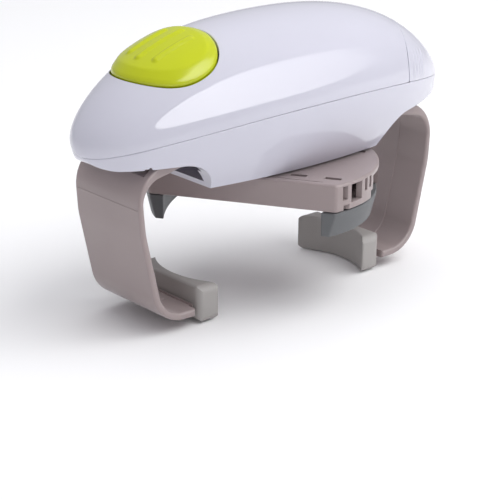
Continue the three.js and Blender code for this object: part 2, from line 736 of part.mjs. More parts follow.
function barCover() {
  let solid = slab(barOutline(WALL + GAP), -39.3, -37.3);
  [1, -1].forEach((end) => {
    const [v0, v1] = [JAW_SLOT.v0 * end, JAW_SLOT.v1 * end].sort((a, b) => a - b);
    const [u0, u1] = [JAW_SLOT.from * end, 60 * end].sort((a, b) => a - b);
    solid = cut(solid, box(u0, u1, v0, v1, -41, -36));
  });
  [-20, 20].forEach((v) => {
    solid = cut(solid, rod(1.6, -41, -36, 0, v, 8), rod(2.8, -41, -38.2, 0, v, 12));
  });
  return cut(solid, rod(2.4, -41, -36, 0, 0, 14));
}

function spindle() {
  const outer = join(
    rod(SPINDLE.radius, -32.7, SPINDLE.top, 0, 0, 24),
    rod(8.4, -32.7, BAR.z1 - BAR.top - GAP, 0, 0, 24),
  );
  return cut(outer, rod(SPINDLE.bore, -40, 0, 0, 0, 20));
}

function spindleBush() {
  const flange = join(rod(7, -27.8, -24.6, 0, 0, 24), rod(9, -25.5, -24.6, 0, 0, 24));
  return cut(flange, rod(SPINDLE.radius + 0.2, -30, -20, 0, 0, 24));
}

function spindleClip() {
  const bore = SPINDLE.radius + 0.2;
  const ring = cut(rod(6.6, -7.6, -6.9, 0, 0, 20), rod(bore, -8, -6, 0, 0, 20));
  return cut(ring, box(0, 9, -1.6, 1.6, -8, -6));
}

// One jaw: a toothed slide inside the bar, a link out of it, and a blade inside the rubber.
function lidJaw() {
  const pitchV = (LID_PINION_TEETH * MODULE_MM) / 2;
  const rack = slab(rackOutline(JAW_RACK, pitchV, true), JAW_RACK.z0, JAW_RACK.z1);
  const { u0, u1, v0, v1, z0 } = JAW_LINK;
  const slide = box(26.5, 36, v0, JAW_RACK.back, JAW_RACK.z0, JAW_RACK.z1);
  const link = box(u0, u1, v0, v1, z0, JAW_RACK.z0 - 0.1);
  const neck = box(u0, 36, v0, v1, -37, JAW_RACK.z0 + 0.2);
  const { halfWidth } = JAW_BLADE;
  const blade = box(JAW_BLADE.u0, JAW_BLADE.u1, -halfWidth, halfWidth, JAW_BLADE.z0, JAW_BLADE.z1);
  return join(rack, slide, neck, link, blade);
}

// Rubber shoe of a jaw: a gently hollow inner face and a round outer face that leans in.
function jawPad() {
  const { halfWidth, inner, innerEdge, outer, z0, z1 } = JAW_PAD;
  const depth = inner - innerEdge;
  const radius = (halfWidth ** 2 + depth ** 2) / (2 * depth);
  const spread = Math.asin(halfWidth / radius);
  const steps = 8;
  const loops = [];
  for (let i = 0; i <= steps; i++) {
    const v = -halfWidth + (2 * halfWidth * i) / steps;
    const face = inner - radius + Math.sqrt(radius ** 2 - v ** 2);
    const topOuter = Math.sqrt((outer + 1.2) ** 2 - v ** 2);
    const bottomOuter = Math.sqrt((outer - 1.4) ** 2 - v ** 2);
    loops.push([
      new THREE.Vector3(face, v, z0),
      new THREE.Vector3(face, v, z1),
      new THREE.Vector3(topOuter, v, z1),
      new THREE.Vector3(topOuter, v, z1 - 1.6),
      new THREE.Vector3(bottomOuter, v, z0),
    ]);
  }
  const reach = JAW_BLADE.halfWidth + GAP;
  const [bladeFrom, bladeTo] = [JAW_BLADE.u0 - GAP, JAW_BLADE.u1 + GAP];
  const { u0, u1, v0, v1 } = JAW_LINK;
  const pocket = join(
    box(bladeFrom, bladeTo, -reach, reach, JAW_BLADE.z0 - GAP, JAW_BLADE.z1 + GAP),
    box(u0 - GAP, u1 + GAP, v0 - GAP, v1 + GAP, JAW_LINK.z0 - GAP, z1 + 1),
  );
  return cut(loft(loops), pocket);
}

// ---------------------------------------------------------------- drive and power

function gearPlate() {
  const outline = rounded([[-36, -23, 4], [16.5, -23, 4], [16.5, 23, 4], [-36, 23, 4]], 3);
  let solid = slab(outline, PLATE.z0, PLATE.z1);
  solid = cut(solid, rod(3.2, -5, 5, ...MOTOR_AXIS, 16));
  [FIRST_AXLE, SECOND_AXLE].forEach(([x, y]) => {
    solid = cut(solid, rod(1.5, -2, -0.4, x, y, 10));
  });
  PLATE_POSTS.forEach(([x, y]) => {
    solid = cut(solid, rod(1.6, -2, 2, x, y, 8));
  });
  return solid;
}

function axle() {
  return rod(1.2, -12, -0.7, 0, 0, 12);
}

function motorCan() {
  const can = rod(MOTOR.radius, MOTOR.z0, MOTOR.z1, 0, 0, 24);
  const flats = [1, -1].map((side) => {
    const near = side > 0 ? 9.2 : -FAR;
    return box(-FAR, FAR, near, side > 0 ? FAR : -9.2, -5, 30);
  });
  return cut(can, ...flats, rod(1.4, -5, MOTOR.z0 + 4, 0, 0, 12));
}

function motorCap() {
  const flats = [box(-FAR, FAR, 9, FAR, 15, 30), box(-FAR, FAR, -FAR, -9, 15, 30)];
  const cap = cut(rod(10.8, MOTOR.z1 + 0.2, 22, 0, 0, 24), ...flats);
  const tabs = [-6, 6].map((y) => box(-1.2, 1.2, y - 0.4, y + 0.4, 21.9, 23.2));
  return join(cap, ...tabs);
}

// A pan-head screw with its head from z = 0 up and its tip at z = length.
function screw(headRadius, headHeight, length) {
  const head = rod(headRadius, 0, headHeight, 0, 0, 12);
  return join(head, rod(0.95, headHeight - 0.1, length, 0, 0, 6));
}

// One cell along x, its raised pole at the +x end.
function cell() {
  const { radius, length, nub } = CELL;
  const geometry = turned([
    [0, 0],
    [radius - 0.8, 0],
    [radius, 0.8],
    [radius, length - 0.8],
    [radius - 0.8, length],
    [2.7, length],
    [2.7, length + nub],
    [0, length + nub],
  ]);
  geometry.rotateX(-Math.PI / 2);
  geometry.rotateZ(-Math.PI / 2);
  return solidOf(geometry);
}

// A conical contact spring that stands on a thin plate; it points along +x.
function springContact() {
  const points = [];
  const steps = 18;
  for (let i = 0; i <= steps; i++) {
    const share = i / steps;
    const angle = 2 * Math.PI * 2.5 * share;
    const radius = 4.2 - 2.2 * share;
    points.push([0.5 + 1.1 * share, radius * Math.cos(angle), radius * Math.sin(angle)]);
  }
  const plate = box(0, 0.6, -4.8, 4.8, -5.5, 3.6);
  return join(plate, tube(points, 0.25, steps, 2));
}

function buttonContact() {
  const plate = box(0, 0.6, -4.8, 4.8, -5.5, 3.6);
  const dimple = new THREE.CylinderGeometry(1.2, 2.4, 0.5, 12);
  dimple.rotateZ(-Math.PI / 2);
  dimple.translate(0.8, 0, 0);
  return join(plate, solidOf(dimple));
}

function bridgeContact() {
  return box(73.4, 74, -12, 12, -6.5, 2.4);
}

function controlBoard() {
  const board = box(-64, -35, -11, 11, -7.4, -6);
  const chips = [box(-62, -56, -8, -3, -6.1, -4.4), box(-62, -57, 3, 8.5, -6.1, -3.6)];
  return join(board, ...chips);
}

// ---------------------------------------------------------------- assembly

function piece(name, solid, material) {
  const mesh = new THREE.Mesh(geometryOf(solid), material);
  mesh.name = name;
  return mesh;
}

function placed(object, x, y, z = 0) {
  object.position.set(x, y, z);
  return object;
}

function housingGroup() {
  const group = new THREE.Group();
  group.add(piece("upper_housing", upperHousing(), shellWhite));
  group.add(piece("lower_housing", lowerHousing(), shellWhite));
  group.add(piece("battery_cover", batteryCover(), shellWhite));
  HOUSING_SCREWS.forEach(([x, y], i) => {
    const body = screw(2.5, 1.6, 11);
    group.add(placed(piece(`housing_screw_${i + 1}`, body, steel), x, y, -13.4));
  });
  return group;
}

function buttonGroup() {
  const group = new THREE.Group();
  group.add(piece("start_button", startButton(), buttonGreen));
  group.add(piece("button_spring", buttonSpring(), steel));
  group.add(piece("switch_body", switchBody(), switchBlack));
  group.add(piece("switch_plunger", rod(1.4, 0.4, 5, SWITCH.x, 0, 12), buttonGreen));
  group.add(piece("switch_bracket", switchBracket(), steel));
  group.add(piece("control_board", controlBoard(), boardGreen));
  return group;
}

function driveGroup() {
  const group = new THREE.Group();
  const { low, b0, b, c0, c } = LAYER;
  const second = compoundGear(SECOND_SMALL_PHASE, SECOND_WHEEL_PHASE, low, b0, b);
  const first = compoundGear(FIRST_SMALL_PHASE, FIRST_WHEEL_PHASE, b0, c0, c);
  group.add(piece("gear_plate", gearPlate(), gearWhite));
  group.add(placed(piece("compound_gear_2", second, gearWhite), ...SECOND_AXLE));
  group.add(placed(piece("compound_gear_1", first, gearWhite), ...FIRST_AXLE));
  group.add(placed(piece("gear_axle_2", axle(), steel), ...SECOND_AXLE));
  group.add(placed(piece("gear_axle_1", axle(), steel), ...FIRST_AXLE));
  group.add(placed(piece("motor_pinion", motorPinion(), brass), ...MOTOR_AXIS));
  group.add(placed(piece("motor_can", motorCan(), steel), ...MOTOR_AXIS));
  group.add(placed(piece("motor_cap", motorCap(), switchBlack), ...MOTOR_AXIS));
  PLATE_POSTS.forEach(([x, y], i) => {
    const mesh = piece(`plate_screw_${i + 1}`, screw(2.4, 1.4, 8), steel);
    mesh.rotation.x = Math.PI;
    group.add(placed(mesh, x, y, PLATE.z1 + GAP + 1.4));
  });
  return group;
}

function powerGroup() {
  const group = new THREE.Group();
  const { x0, length, y, z } = CELL;
  const front = placed(piece("cell_1", cell(), cellJacket), x0 + length, -y, z);
  front.rotation.z = Math.PI;
  group.add(front);
  group.add(placed(piece("cell_2", cell(), cellJacket), x0, y, z));
  group.add(placed(piece("positive_contact", buttonContact(), steel), 20.1, -y, z));
  group.add(placed(piece("negative_contact", springContact(), steel), 20.1, y, z));
  group.add(piece("bridge_contact", bridgeContact(), steel));
  const positive = [
    [21, -7.7, 2.9],
    [19.6, -9.5, 8],
    [14, -13, 15],
    [6, -13, 21],
    [-0.8, -6.9, 24.3],
  ];
  const negative = [
    [21, 7.7, 2.9],
    [19.4, 12, 9],
    [6, 18, 11],
    [-12, 17, 10],
    [-30, 8, 6],
    [-38.6, 1.5, 1],
  ];
  const motor = [
    [-0.8, 5.8, 24.3],
    [-6, 11.5, 21.5],
    [-20, 11.5, 14],
    [-33, -2, 7],
    [-38.6, -1.5, 1],
  ];
  group.add(piece("positive_lead", tube(positive, 0.75, 12, 2), leadRed));
  group.add(piece("negative_lead", tube(negative, 0.75, 14, 2), leadBlack));
  group.add(piece("motor_lead", tube(motor, 0.75, 12, 2), leadBlue));
  return group;
}

function armGroup() {
  const group = new THREE.Group();
  ["rear", "front"].forEach((name, i) => {
    const side = new THREE.Group();
    side.rotation.z = Math.PI * i;
    side.add(piece(`${name}_arm`, arm(), armTaupe));
    side.add(piece(`${name}_arm_pad`, armPad(), padGrey));
    group.add(side);
  });
  group.add(piece("arm_pinion", armPinion(), gearWhite));
  return group;
}

function barGroup() {
  const group = new THREE.Group();
  group.rotation.z = BAR_ANGLE;
  group.add(piece("lid_bar", barShell(), armTaupe));
  group.add(piece("lid_bar_cover", barCover(), armTaupe));
  group.add(piece("lid_spindle", spindle(), gearWhite));
  group.add(piece("lid_pinion", lidPinion(), gearWhite));
  [-20, 20].forEach((v, i) => {
    group.add(placed(piece(`bar_screw_${i + 1}`, screw(2.3, 1.2, 6), steel), 0, v, -39.6));
  });
  ["a", "b"].forEach((letter, i) => {
    const side = new THREE.Group();
    side.rotation.z = Math.PI * i;
    side.add(piece(`lid_jaw_${letter}`, lidJaw(), armTaupe));
    side.add(piece(`lid_jaw_pad_${letter}`, jawPad(), padGrey));
    group.add(side);
  });
  return group;
}

const opener = new THREE.Group();
opener.position.z = SEAM_HEIGHT;
opener.add(housingGroup(), buttonGroup(), driveGroup(), powerGroup(), armGroup(), barGroup());
opener.add(piece("drive_gear", driveGear(), gearWhite));
opener.add(piece("spindle_bush", spindleBush(), brass));
opener.add(piece("spindle_clip", spindleClip(), steel));

export default opener;
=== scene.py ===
import json
import math

import bmesh
import bpy
import numpy as np
from mathutils import Matrix, Vector
from mathutils.geometry import tessellate_polygon


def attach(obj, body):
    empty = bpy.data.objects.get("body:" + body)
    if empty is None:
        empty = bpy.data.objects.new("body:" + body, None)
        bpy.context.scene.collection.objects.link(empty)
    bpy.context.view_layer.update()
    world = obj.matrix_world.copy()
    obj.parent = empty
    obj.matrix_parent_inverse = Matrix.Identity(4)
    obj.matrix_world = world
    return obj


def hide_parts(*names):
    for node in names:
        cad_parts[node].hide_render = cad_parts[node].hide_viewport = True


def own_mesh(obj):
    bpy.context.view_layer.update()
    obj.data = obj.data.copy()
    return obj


# An electric jar opener: smooth shells, arms, pads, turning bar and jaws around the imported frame.
# Lengths are millimetres in the seam frame, where z = 0 is the middle of the joint between the
# shells at mid-length; place() lifts a point to the CAD's frame, in metres.

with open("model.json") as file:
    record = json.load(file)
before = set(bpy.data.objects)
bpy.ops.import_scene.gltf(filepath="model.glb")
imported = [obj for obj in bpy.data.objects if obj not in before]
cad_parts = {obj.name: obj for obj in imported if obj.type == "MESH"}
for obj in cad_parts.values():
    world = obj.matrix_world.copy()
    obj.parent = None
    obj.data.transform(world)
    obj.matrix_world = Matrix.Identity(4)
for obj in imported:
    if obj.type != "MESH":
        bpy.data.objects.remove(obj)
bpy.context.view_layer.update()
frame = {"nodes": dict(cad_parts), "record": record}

MM = 0.001
SEAM_HEIGHT = 81.0  # from the pad undersides up to the seam frame
WALL = 2.2
GAP = 0.3  # clearance between parts that are fixed
SEAM_GAP = 0.12  # the joint between the shells, as it shows
FAR = 120.0  # past every part
WELD = 1e-4  # points closer than this are one point


def place(points):
    return (np.asarray(points, float) + [0, 0, SEAM_HEIGHT]) * MM


def set_inputs(node, values):
    for name, value in values.items():
        node.inputs[name].default_value = value


# ---- camera, lights, floor

CAMERA_AZIMUTH = math.radians(-41.02)
CAMERA_PITCH = math.radians(20.16)
CAMERA_ROLL = math.radians(0.49)
CAMERA_DISTANCE = 0.69727
CAMERA_ASIDE = -0.00409
CAMERA_AIM_HEIGHT = 0.01343
CAMERA_LENS = 127.24
CAMERA_SENSOR = 36
LIGHT_AIM_HEIGHT = 0.08


def add_camera():
    a, e = CAMERA_AZIMUTH, CAMERA_PITCH
    back = Vector((math.sin(a) * math.cos(e), -math.cos(a) * math.cos(e), math.sin(e)))
    right = Vector((math.cos(a), math.sin(a), 0))
    up = back.cross(right)
    turn = Matrix.Rotation(CAMERA_ROLL, 3, "Z").transposed()
    rows = turn @ Matrix((right, up, back))
    aim = right * CAMERA_ASIDE + Vector((0, 0, CAMERA_AIM_HEIGHT))
    data = bpy.data.cameras.new("camera")
    data.lens = CAMERA_LENS
    data.sensor_width = CAMERA_SENSOR
    data.clip_start = 0.01
    data.clip_end = 50
    camera = bpy.data.objects.new("camera", data)
    bpy.context.scene.collection.objects.link(camera)
    camera.matrix_world = Matrix.Translation(aim + back * CAMERA_DISTANCE) @ rows.transposed().to_4x4()
    bpy.context.scene.camera = camera


def add_light(name, azimuth, elevation, distance, width, height, power, shape="RECTANGLE"):
    """An area light aimed at the opener: degrees, metres and watts."""
    data = bpy.data.lights.new(name, "AREA")
    data.shape = shape
    data.size = width
    data.size_y = height
    data.energy = power
    light = bpy.data.objects.new(name, data)
    bpy.context.scene.collection.objects.link(light)
    a, e = math.radians(azimuth), math.radians(elevation)
    way = Vector((math.cos(a) * math.cos(e), math.sin(a) * math.cos(e), math.sin(e)))
    light.location = Vector((0, 0, LIGHT_AIM_HEIGHT)) + way * distance
    light.rotation_euler = way.to_track_quat("Z", "Y").to_euler()
    return light


def fade_light(light, start, end):
    """Dims a light from a share of its width to another, for a reflection that fades out."""
    light.data.use_nodes = True
    nodes, links = light.data.node_tree.nodes, light.data.node_tree.links
    geometry = nodes.new("ShaderNodeNewGeometry")
    split = nodes.new("ShaderNodeSeparateXYZ")
    fade = nodes.new("ShaderNodeMapRange")
    set_inputs(fade, {"From Min": start, "From Max": end, "To Min": 1.0, "To Max": 0.0})
    links.new(geometry.outputs["Parametric"], split.inputs["Vector"])
    links.new(split.outputs["X"], fade.inputs["Value"])
    links.new(fade.outputs["Result"], nodes["Emission"].inputs["Strength"])


def add_studio():
    scene = bpy.context.scene
    scene.view_settings.view_transform = "Standard"
    world = bpy.data.worlds.new("studio")
    world.use_nodes = True
    sky = world.node_tree.nodes["Background"]
    set_inputs(sky, {"Color": (0.94, 0.94, 1.0, 1), "Strength": 0.47})
    scene.world = world
    key = add_light("key_softbox", -60, 56, 1.2, 1.6, 0.9, 7.5, shape="ELLIPSE")
    shine = add_light("shine_softbox", -67, 31, 1.0, 1.95, 0.92, 21, shape="ELLIPSE")
    shine.visible_diffuse = False
    fade_light(shine, start=0.35, end=1.0)
    top = add_light("top_softbox", 60, 78, 1.1, 1.2, 1.2, 5)
    side = add_light("side_softbox", -25, 38, 1.3, 0.9, 0.9, 3.2)
    for light in (key, top, side):
        light.visible_glossy = False


def add_floor():
    size, level = 24.0, -0.0002
    mesh = bpy.data.meshes.new("floor")
    corners = [(-size, -size, level), (size, -size, level), (size, size, level), (-size, size, level)]
    mesh.from_pydata(corners, [], [(0, 1, 2, 3)])
    floor = bpy.data.objects.new("floor", mesh)
    bpy.context.scene.collection.objects.link(floor)
    material = bpy.data.materials.new("floor_paper")
    material.use_nodes = True
    shader = material.node_tree.nodes["Principled BSDF"]
    paper = {"Base Color": (0.98, 0.98, 0.98, 1), "Roughness": 0.9, "Specular IOR Level": 0.1}
    set_inputs(shader, paper)
    mesh.materials.append(material)


# ---- meshes


class Skin:
    """Faces gathered as plain points in the seam frame."""

    def __init__(self):
        self.points = []
        self.faces = []

    def grid(self, rows, closed=False):
        """Quads between rows of points; closed joins each row's end to its start."""
        rows = np.asarray(rows, float)
        count, width = rows.shape[:2]
        start = len(self.points)
        self.points.extend(rows.reshape(-1, 3))
        span = width if closed else width - 1
        for i in range(count - 1):
            for j in range(span):
                a = start + i * width + j
                b = start + i * width + (j + 1) % width
                self.faces.append((a, b, b + width, a + width))
        return self

    def cap(self, ring):
        """Closes a flat ring with triangles."""
        start = len(self.points)
        ring = np.asarray(ring, float)
        self.points.extend(ring)
        for corners in tessellate_polygon([[Vector(p) for p in ring]]):
            self.faces.append(tuple(start + i for i in corners))
        return self

    def add(self, other):
        start = len(self.points)
        self.points.extend(other.points)
        self.faces.extend(tuple(i + start for i in face) for face in other.faces)
        return self

    def turned(self, angle):
        """The same skin turned about the vertical axis."""
        c, s = math.cos(angle), math.sin(angle)
        points = np.asarray(self.points, float)
        self.points = list(points @ np.array([[c, s, 0], [-s, c, 0], [0, 0, 1]]))
        return self

    def mesh(self, name):
        """One Blender mesh with its points welded and its faces turned outwards."""
        points = np.asarray(self.points, float)
        _, first, back = np.unique(np.round(points / WELD), axis=0, return_index=True, return_inverse=True)
        back = back.reshape(-1)
        faces = []
        for face in self.faces:
            loop = [int(back[i]) for i in face]
            loop = [v for k, v in enumerate(loop) if v != loop[k - 1]]
            if len(set(loop)) > 2:
                faces.append(loop)
        mesh = bpy.data.meshes.new(name)
        mesh.from_pydata([tuple(p) for p in place(points[first])], [], faces)
        mesh.validate()
        bm = bmesh.new()
        bm.from_mesh(mesh)
        bmesh.ops.recalc_face_normals(bm, faces=bm.faces)
        bm.to_mesh(mesh)
        bm.free()
        return mesh


def tube(rows):
    """Rings of points joined into a body that is closed at both ends."""
    return Skin().grid(rows, closed=True).cap(rows[0]).cap(rows[-1])


def read(items, name, count, kind=float):
    values = np.empty(count, dtype=kind)
    items.foreach_get(name, values)
    return values


def shade(mesh, limit=35.0):
    """Smooth shading in which large faces lead and edges sharper than the limit stay sharp."""
    count = len(mesh.polygons)
    normal = read(mesh.polygons, "normal", count * 3).reshape(-1, 3)
    area = read(mesh.polygons, "area", count)
    total = read(mesh.polygons, "loop_total", count, int)
    face_of = np.repeat(np.arange(count), total)
    vertex = read(mesh.loops, "vertex_index", len(mesh.loops), int)
    order = np.argsort(vertex, kind="stable")
    valence = np.bincount(vertex, minlength=len(mesh.vertices))
    first = np.cumsum(valence) - valence
    each = valence[vertex]
    owner = np.repeat(np.arange(len(vertex)), each)
    step = np.arange(each.sum()) - np.repeat(np.cumsum(each) - each, each)
    other = face_of[order[first[vertex[owner]] + step]]
    own = face_of[owner]
    near = (normal[own] * normal[other]).sum(axis=1) > math.cos(math.radians(limit))
    weight = area[other] * near + 1e-15
    corner = np.stack([np.bincount(owner, normal[other][:, k] * weight) for k in range(3)], axis=1)
    corner /= np.maximum(np.linalg.norm(corner, axis=1), 1e-20)[:, None]
    mesh.polygons.foreach_set("use_smooth", [True] * count)
    mesh.normals_split_custom_set(corner)


def solid(skin):
    thing = bpy.data.objects.new("solid", skin.mesh("solid"))
    bpy.context.scene.collection.objects.link(thing)
    return thing


def combine(thing, tool, operation):
    """Joins, cuts or intersects thing with a tool, a skin or an object, which is used up."""
    if isinstance(tool, Skin):
        tool = solid(tool)
    modifier = thing.modifiers.new("combine", "BOOLEAN")
    modifier.operation = operation
    modifier.solver = "MANIFOLD"
    modifier.object = tool
    shown = thing.evaluated_get(bpy.context.evaluated_depsgraph_get())
    result = bpy.data.meshes.new_from_object(shown)
    thing.modifiers.clear()
    thing.data = result
    bpy.data.objects.remove(tool)
    return thing


def cut(thing, *tools):
    for tool in tools:
        combine(thing, tool, "DIFFERENCE")
    return thing


def join(thing, *tools):
    for tool in tools:
        combine(thing, tool, "UNION")
    return thing


def meet(thing, tool):
    return combine(thing, tool, "INTERSECT")


def spin(thing, angle):
    thing.data.transform(Matrix.Rotation(angle, 4, "Z"))


def finish_piece(thing, name, body, material, slot, *nodes, limit=35.0):
    thing.name = name
    thing.data.name = name
    thing.data.materials.clear()
    thing.data.materials.append(material)
    shade(thing.data, limit)
    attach(thing, body)
    if nodes:
        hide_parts(*nodes)
    return thing


# ---- outlines and prisms


def rounded(corners, steps=8):
    """An outline whose corners (x, y, radius) are rounded by arcs."""
    points = []
    count = len(corners)
    for i, (x, y, radius) in enumerate(corners):
        corner = np.array([x, y], float)
        if not radius:
            points.append(corner)
            continue
        before = np.array(corners[i - 1][:2], float) - corner
        after = np.array(corners[(i + 1) % count][:2], float) - corner
        before /= np.linalg.norm(before)
        after /= np.linalg.norm(after)
        half = math.acos(float(before @ after)) / 2
        middle = (before + after) / np.linalg.norm(before + after)
        centre = corner + middle * radius / math.sin(half)
        first = corner + before * radius / math.tan(half) - centre
        last = corner + after * radius / math.tan(half) - centre
        turn = math.atan2(first[0] * last[1] - first[1] * last[0], float(first @ last))
        for k in range(steps + 1):
            c, s = math.cos(turn * k / steps), math.sin(turn * k / steps)
            points.append(centre + [c * first[0] - s * first[1], s * first[0] + c * first[1]])
    return np.array(points)


def drop_repeats(outline):
    outline = np.asarray(outline, float)
    step = np.linalg.norm(outline - np.roll(outline, 1, axis=0), axis=1)
    return outline[step > 1e-3]


def inset(outline, distance):
    """The outline moved inwards, with mitred corners; it runs anticlockwise."""
    edge = np.roll(outline, -1, axis=0) - outline
    edge /= np.linalg.norm(edge, axis=1)[:, None]
    inward = np.stack([-edge[:, 1], edge[:, 0]], axis=1)
    before = np.roll(inward, 1, axis=0)
    mitre = (inward + before) / (1 + (inward * before).sum(axis=1))[:, None]
    return outline + mitre * distance


def anticlockwise(outline):
    x, y = outline[:, 0], outline[:, 1]
    area = (x * np.roll(y, -1) - y * np.roll(x, -1)).sum()
    return outline if area > 0 else outline[::-1]


def quarter(steps):
    return [math.pi / 2 * k / steps for k in range(steps + 1)]


def prism(outline, low, high, round_low=0.0, round_high=0.0, across="z", steps=5):
    """An outline carried from low to high, its end edges rounded.

    across is the direction carried: z for a plan outline, y for a side outline in x and z.
    """
    outline = anticlockwise(drop_repeats(outline))
    levels = []
    if round_low:
        for a in quarter(steps):
            levels.append((round_low * (1 - math.sin(a)), low + round_low * (1 - math.cos(a))))
    else:
        levels.append((0.0, low))
    if round_high:
        for k in range(steps + 1):
            a = math.pi / 2 * (1 - k / steps)
            levels.append((round_high * (1 - math.sin(a)), high - round_high * (1 - math.cos(a))))
    else:
        levels.append((0.0, high))
    rows = []
    for distance, level in levels:
        ring = inset(outline, distance) if distance else outline
        flat = np.full(len(ring), level)
        if across == "z":
            rows.append(np.stack([ring[:, 0], ring[:, 1], flat], axis=1))
        else:
            rows.append(np.stack([ring[:, 0], flat, ring[:, 1]], axis=1))
    return tube(rows)


def box(x0, x1, y0, y1, z0, z1, edge=0.0):
    if edge:
        outline = rounded([(x0, y0, edge), (x1, y0, edge), (x1, y1, edge), (x0, y1, edge)], 3)
        return prism(outline, z0, z1, edge, edge, steps=3)
    return prism([(x0, y0), (x1, y0), (x1, y1), (x0, y1)], z0, z1)


def rod(radius, z0, z1, x=0.0, y=0.0, sides=48, edge=0.0):
    turn = np.linspace(0, 2 * math.pi, sides, endpoint=False)
    outline = np.stack([x + radius * np.cos(turn), y + radius * np.sin(turn)], axis=1)
    return prism(outline, z0, z1, edge, edge, steps=3)


def curve(start, bend, end, steps=14):
    """Points of a quadratic curve, without its last one."""
    t = np.linspace(0, 1, steps, endpoint=False)[:, None]
    start, bend, end = (np.array(p, float) for p in (start, bend, end))
    return (1 - t) ** 2 * start + 2 * t * (1 - t) * bend + t ** 2 * end


# ---- housing surfaces

HALF_LENGTH = 90.0
HALF_WIDTH = 35.6
PLAN_POWER = 1.85
DOME_RISE = 28.4
DOME_POWER = 3.4
DOME_ROUND = 0.78
SECTION_POWER = 2.07
SEAM_TILT = 2.1
SEAM_ARCH = 10.4
SKIRT_Z = -28.04
SKIRT_HALF_LENGTH = 42.23
SKIRT_SHRINK = 0.345
SKIRT_CURVE = 1.76
SKIRT_FLOOR_TOP = -25.84
RIM_NOSE_Z = -15.9
RIM_TAIL_Z = -13.6
DECK_TOP = -12.3
DECK_BOTTOM = -13.8
MOUTH_FROM = 39.0  # openings in the skirt's ends, over its floor
MOUTH_HALF_WIDTH = 17.5
EDGE = 0.3  # rounding of the shells' edges

COVER_PEAK_X = 64.5
COVER_DEPTH = 11.6
COVER_HALF_WIDTH = 26.0

BUTTON_X = -45.7
BUTTON_FRONT = 21.1
BUTTON_REAR = 14.4
BUTTON_HALF_WIDTH = 21.8
BUTTON_PROUD = 2.3
BUTTON_GAP = 0.4


def plan_half_width(x, set_in=0.0):
    share = np.clip(np.abs(x) / (HALF_LENGTH - set_in), 0, 1)
    return (HALF_WIDTH - set_in) * (1 - share ** PLAN_POWER) ** (1 / PLAN_POWER)


def seam_z(x):
    share = np.asarray(x) / HALF_LENGTH
    return SEAM_TILT * share - SEAM_ARCH * share * share


def dome_rise(x):
    share = np.clip(np.abs(x) / HALF_LENGTH, 0, 1)
    return DOME_RISE * (1 - share ** DOME_POWER) ** DOME_ROUND


def dome_point(x, angle):
    """A point of the dome: angle runs over its top from the seam at +y (0) to the seam at -y (pi)."""
    c, s = np.cos(angle), np.sin(angle)
    y = plan_half_width(x) * np.sign(c) * np.abs(c) ** (2 / SECTION_POWER)
    z = seam_z(x) + dome_rise(x) * np.abs(s) ** (2 / SECTION_POWER)
    return np.stack([x, y, z], axis=-1)


def dome_normal(points):
    """Outward normals of the dome at points on it, by central differences of its equation."""
    step = 1e-3

    def outside(q):
        half = np.maximum(plan_half_width(q[..., 0]), 1e-3)
        rise = np.maximum(dome_rise(q[..., 0]), 1e-3)
        up = np.abs(q[..., 2] - seam_z(q[..., 0])) / rise
        return (np.abs(q[..., 1]) / half) ** SECTION_POWER + up ** SECTION_POWER

    slope = []
    for k in range(3):
        move = np.zeros(3)
        move[k] = step
        slope.append(outside(points + move) - outside(points - move))
    normal = np.stack(slope, axis=-1)
    return normal / np.maximum(np.linalg.norm(normal, axis=-1), 1e-12)[..., None]


def dome_angle(x, y):
    """The angle at which the dome passes over a point of the plan."""
    share = np.clip(y / plan_half_width(x), -1, 1)
    return np.arccos(np.sign(share) * np.abs(share) ** (SECTION_POWER / 2))


def cover_x(y):
    return COVER_PEAK_X - COVER_DEPTH * (np.abs(y) / COVER_HALF_WIDTH) ** 1.2


def button_outline(turn, offset):
    """The button's egg outline in plan, at angles about its centre."""
    c, s = np.cos(turn), np.sin(turn)
    reach = np.where(c > 0, BUTTON_REAR, BUTTON_FRONT) + offset
    power = np.where(c > 0, 2 / 2.3, 1.0)
    x = BUTTON_X + reach * np.sign(c) * np.abs(c) ** power
    y = (BUTTON_HALF_WIDTH + offset) * np.sign(s) * np.abs(s) ** power
    return x, y


def edge_rows(border, normal, away):
    """Rows that take a shell's edge round its rounded lip and down to its inner surface."""
    rows = []
    for a in quarter(4):
        rows.append(border - away * EDGE * (1 - math.sin(a)) - normal * EDGE * (1 - math.cos(a)))
    rows.append(border - normal * WALL)
    return rows


def shell_depth(x):
    """Wall thickness, which thins out towards the pointed ends so that the inside never folds."""
    return (WALL * np.clip((HALF_LENGTH - np.abs(x)) / 8, 0.05, 1))[..., None]


def x_at(share):
    """Stations crowd towards both ends: share 0 is the nose, 1 the tail."""
    return -HALF_LENGTH * np.cos(np.pi * np.asarray(share, float))


def share_at(x):
    return np.arccos(-np.asarray(x, float) / HALF_LENGTH) / np.pi


SEAM_ANGLE = 0.009  # the dome's surface stops this short of the seam, where its rounded edge starts
RING_X = -24.0  # the faces that run round the button end here
COLUMNS = 97


def lip(border, inside_row):
    """Edge rows for a border whose next row of surface points is inside_row."""
    normal = dome_normal(border)
    along = np.gradient(border, axis=0)
    away = np.cross(along, normal)
    away /= np.linalg.norm(away, axis=1)[:, None]
    sign = np.sign(((border - inside_row) * away).sum(axis=1))[:, None]
    return edge_rows(border, normal, away * sign)


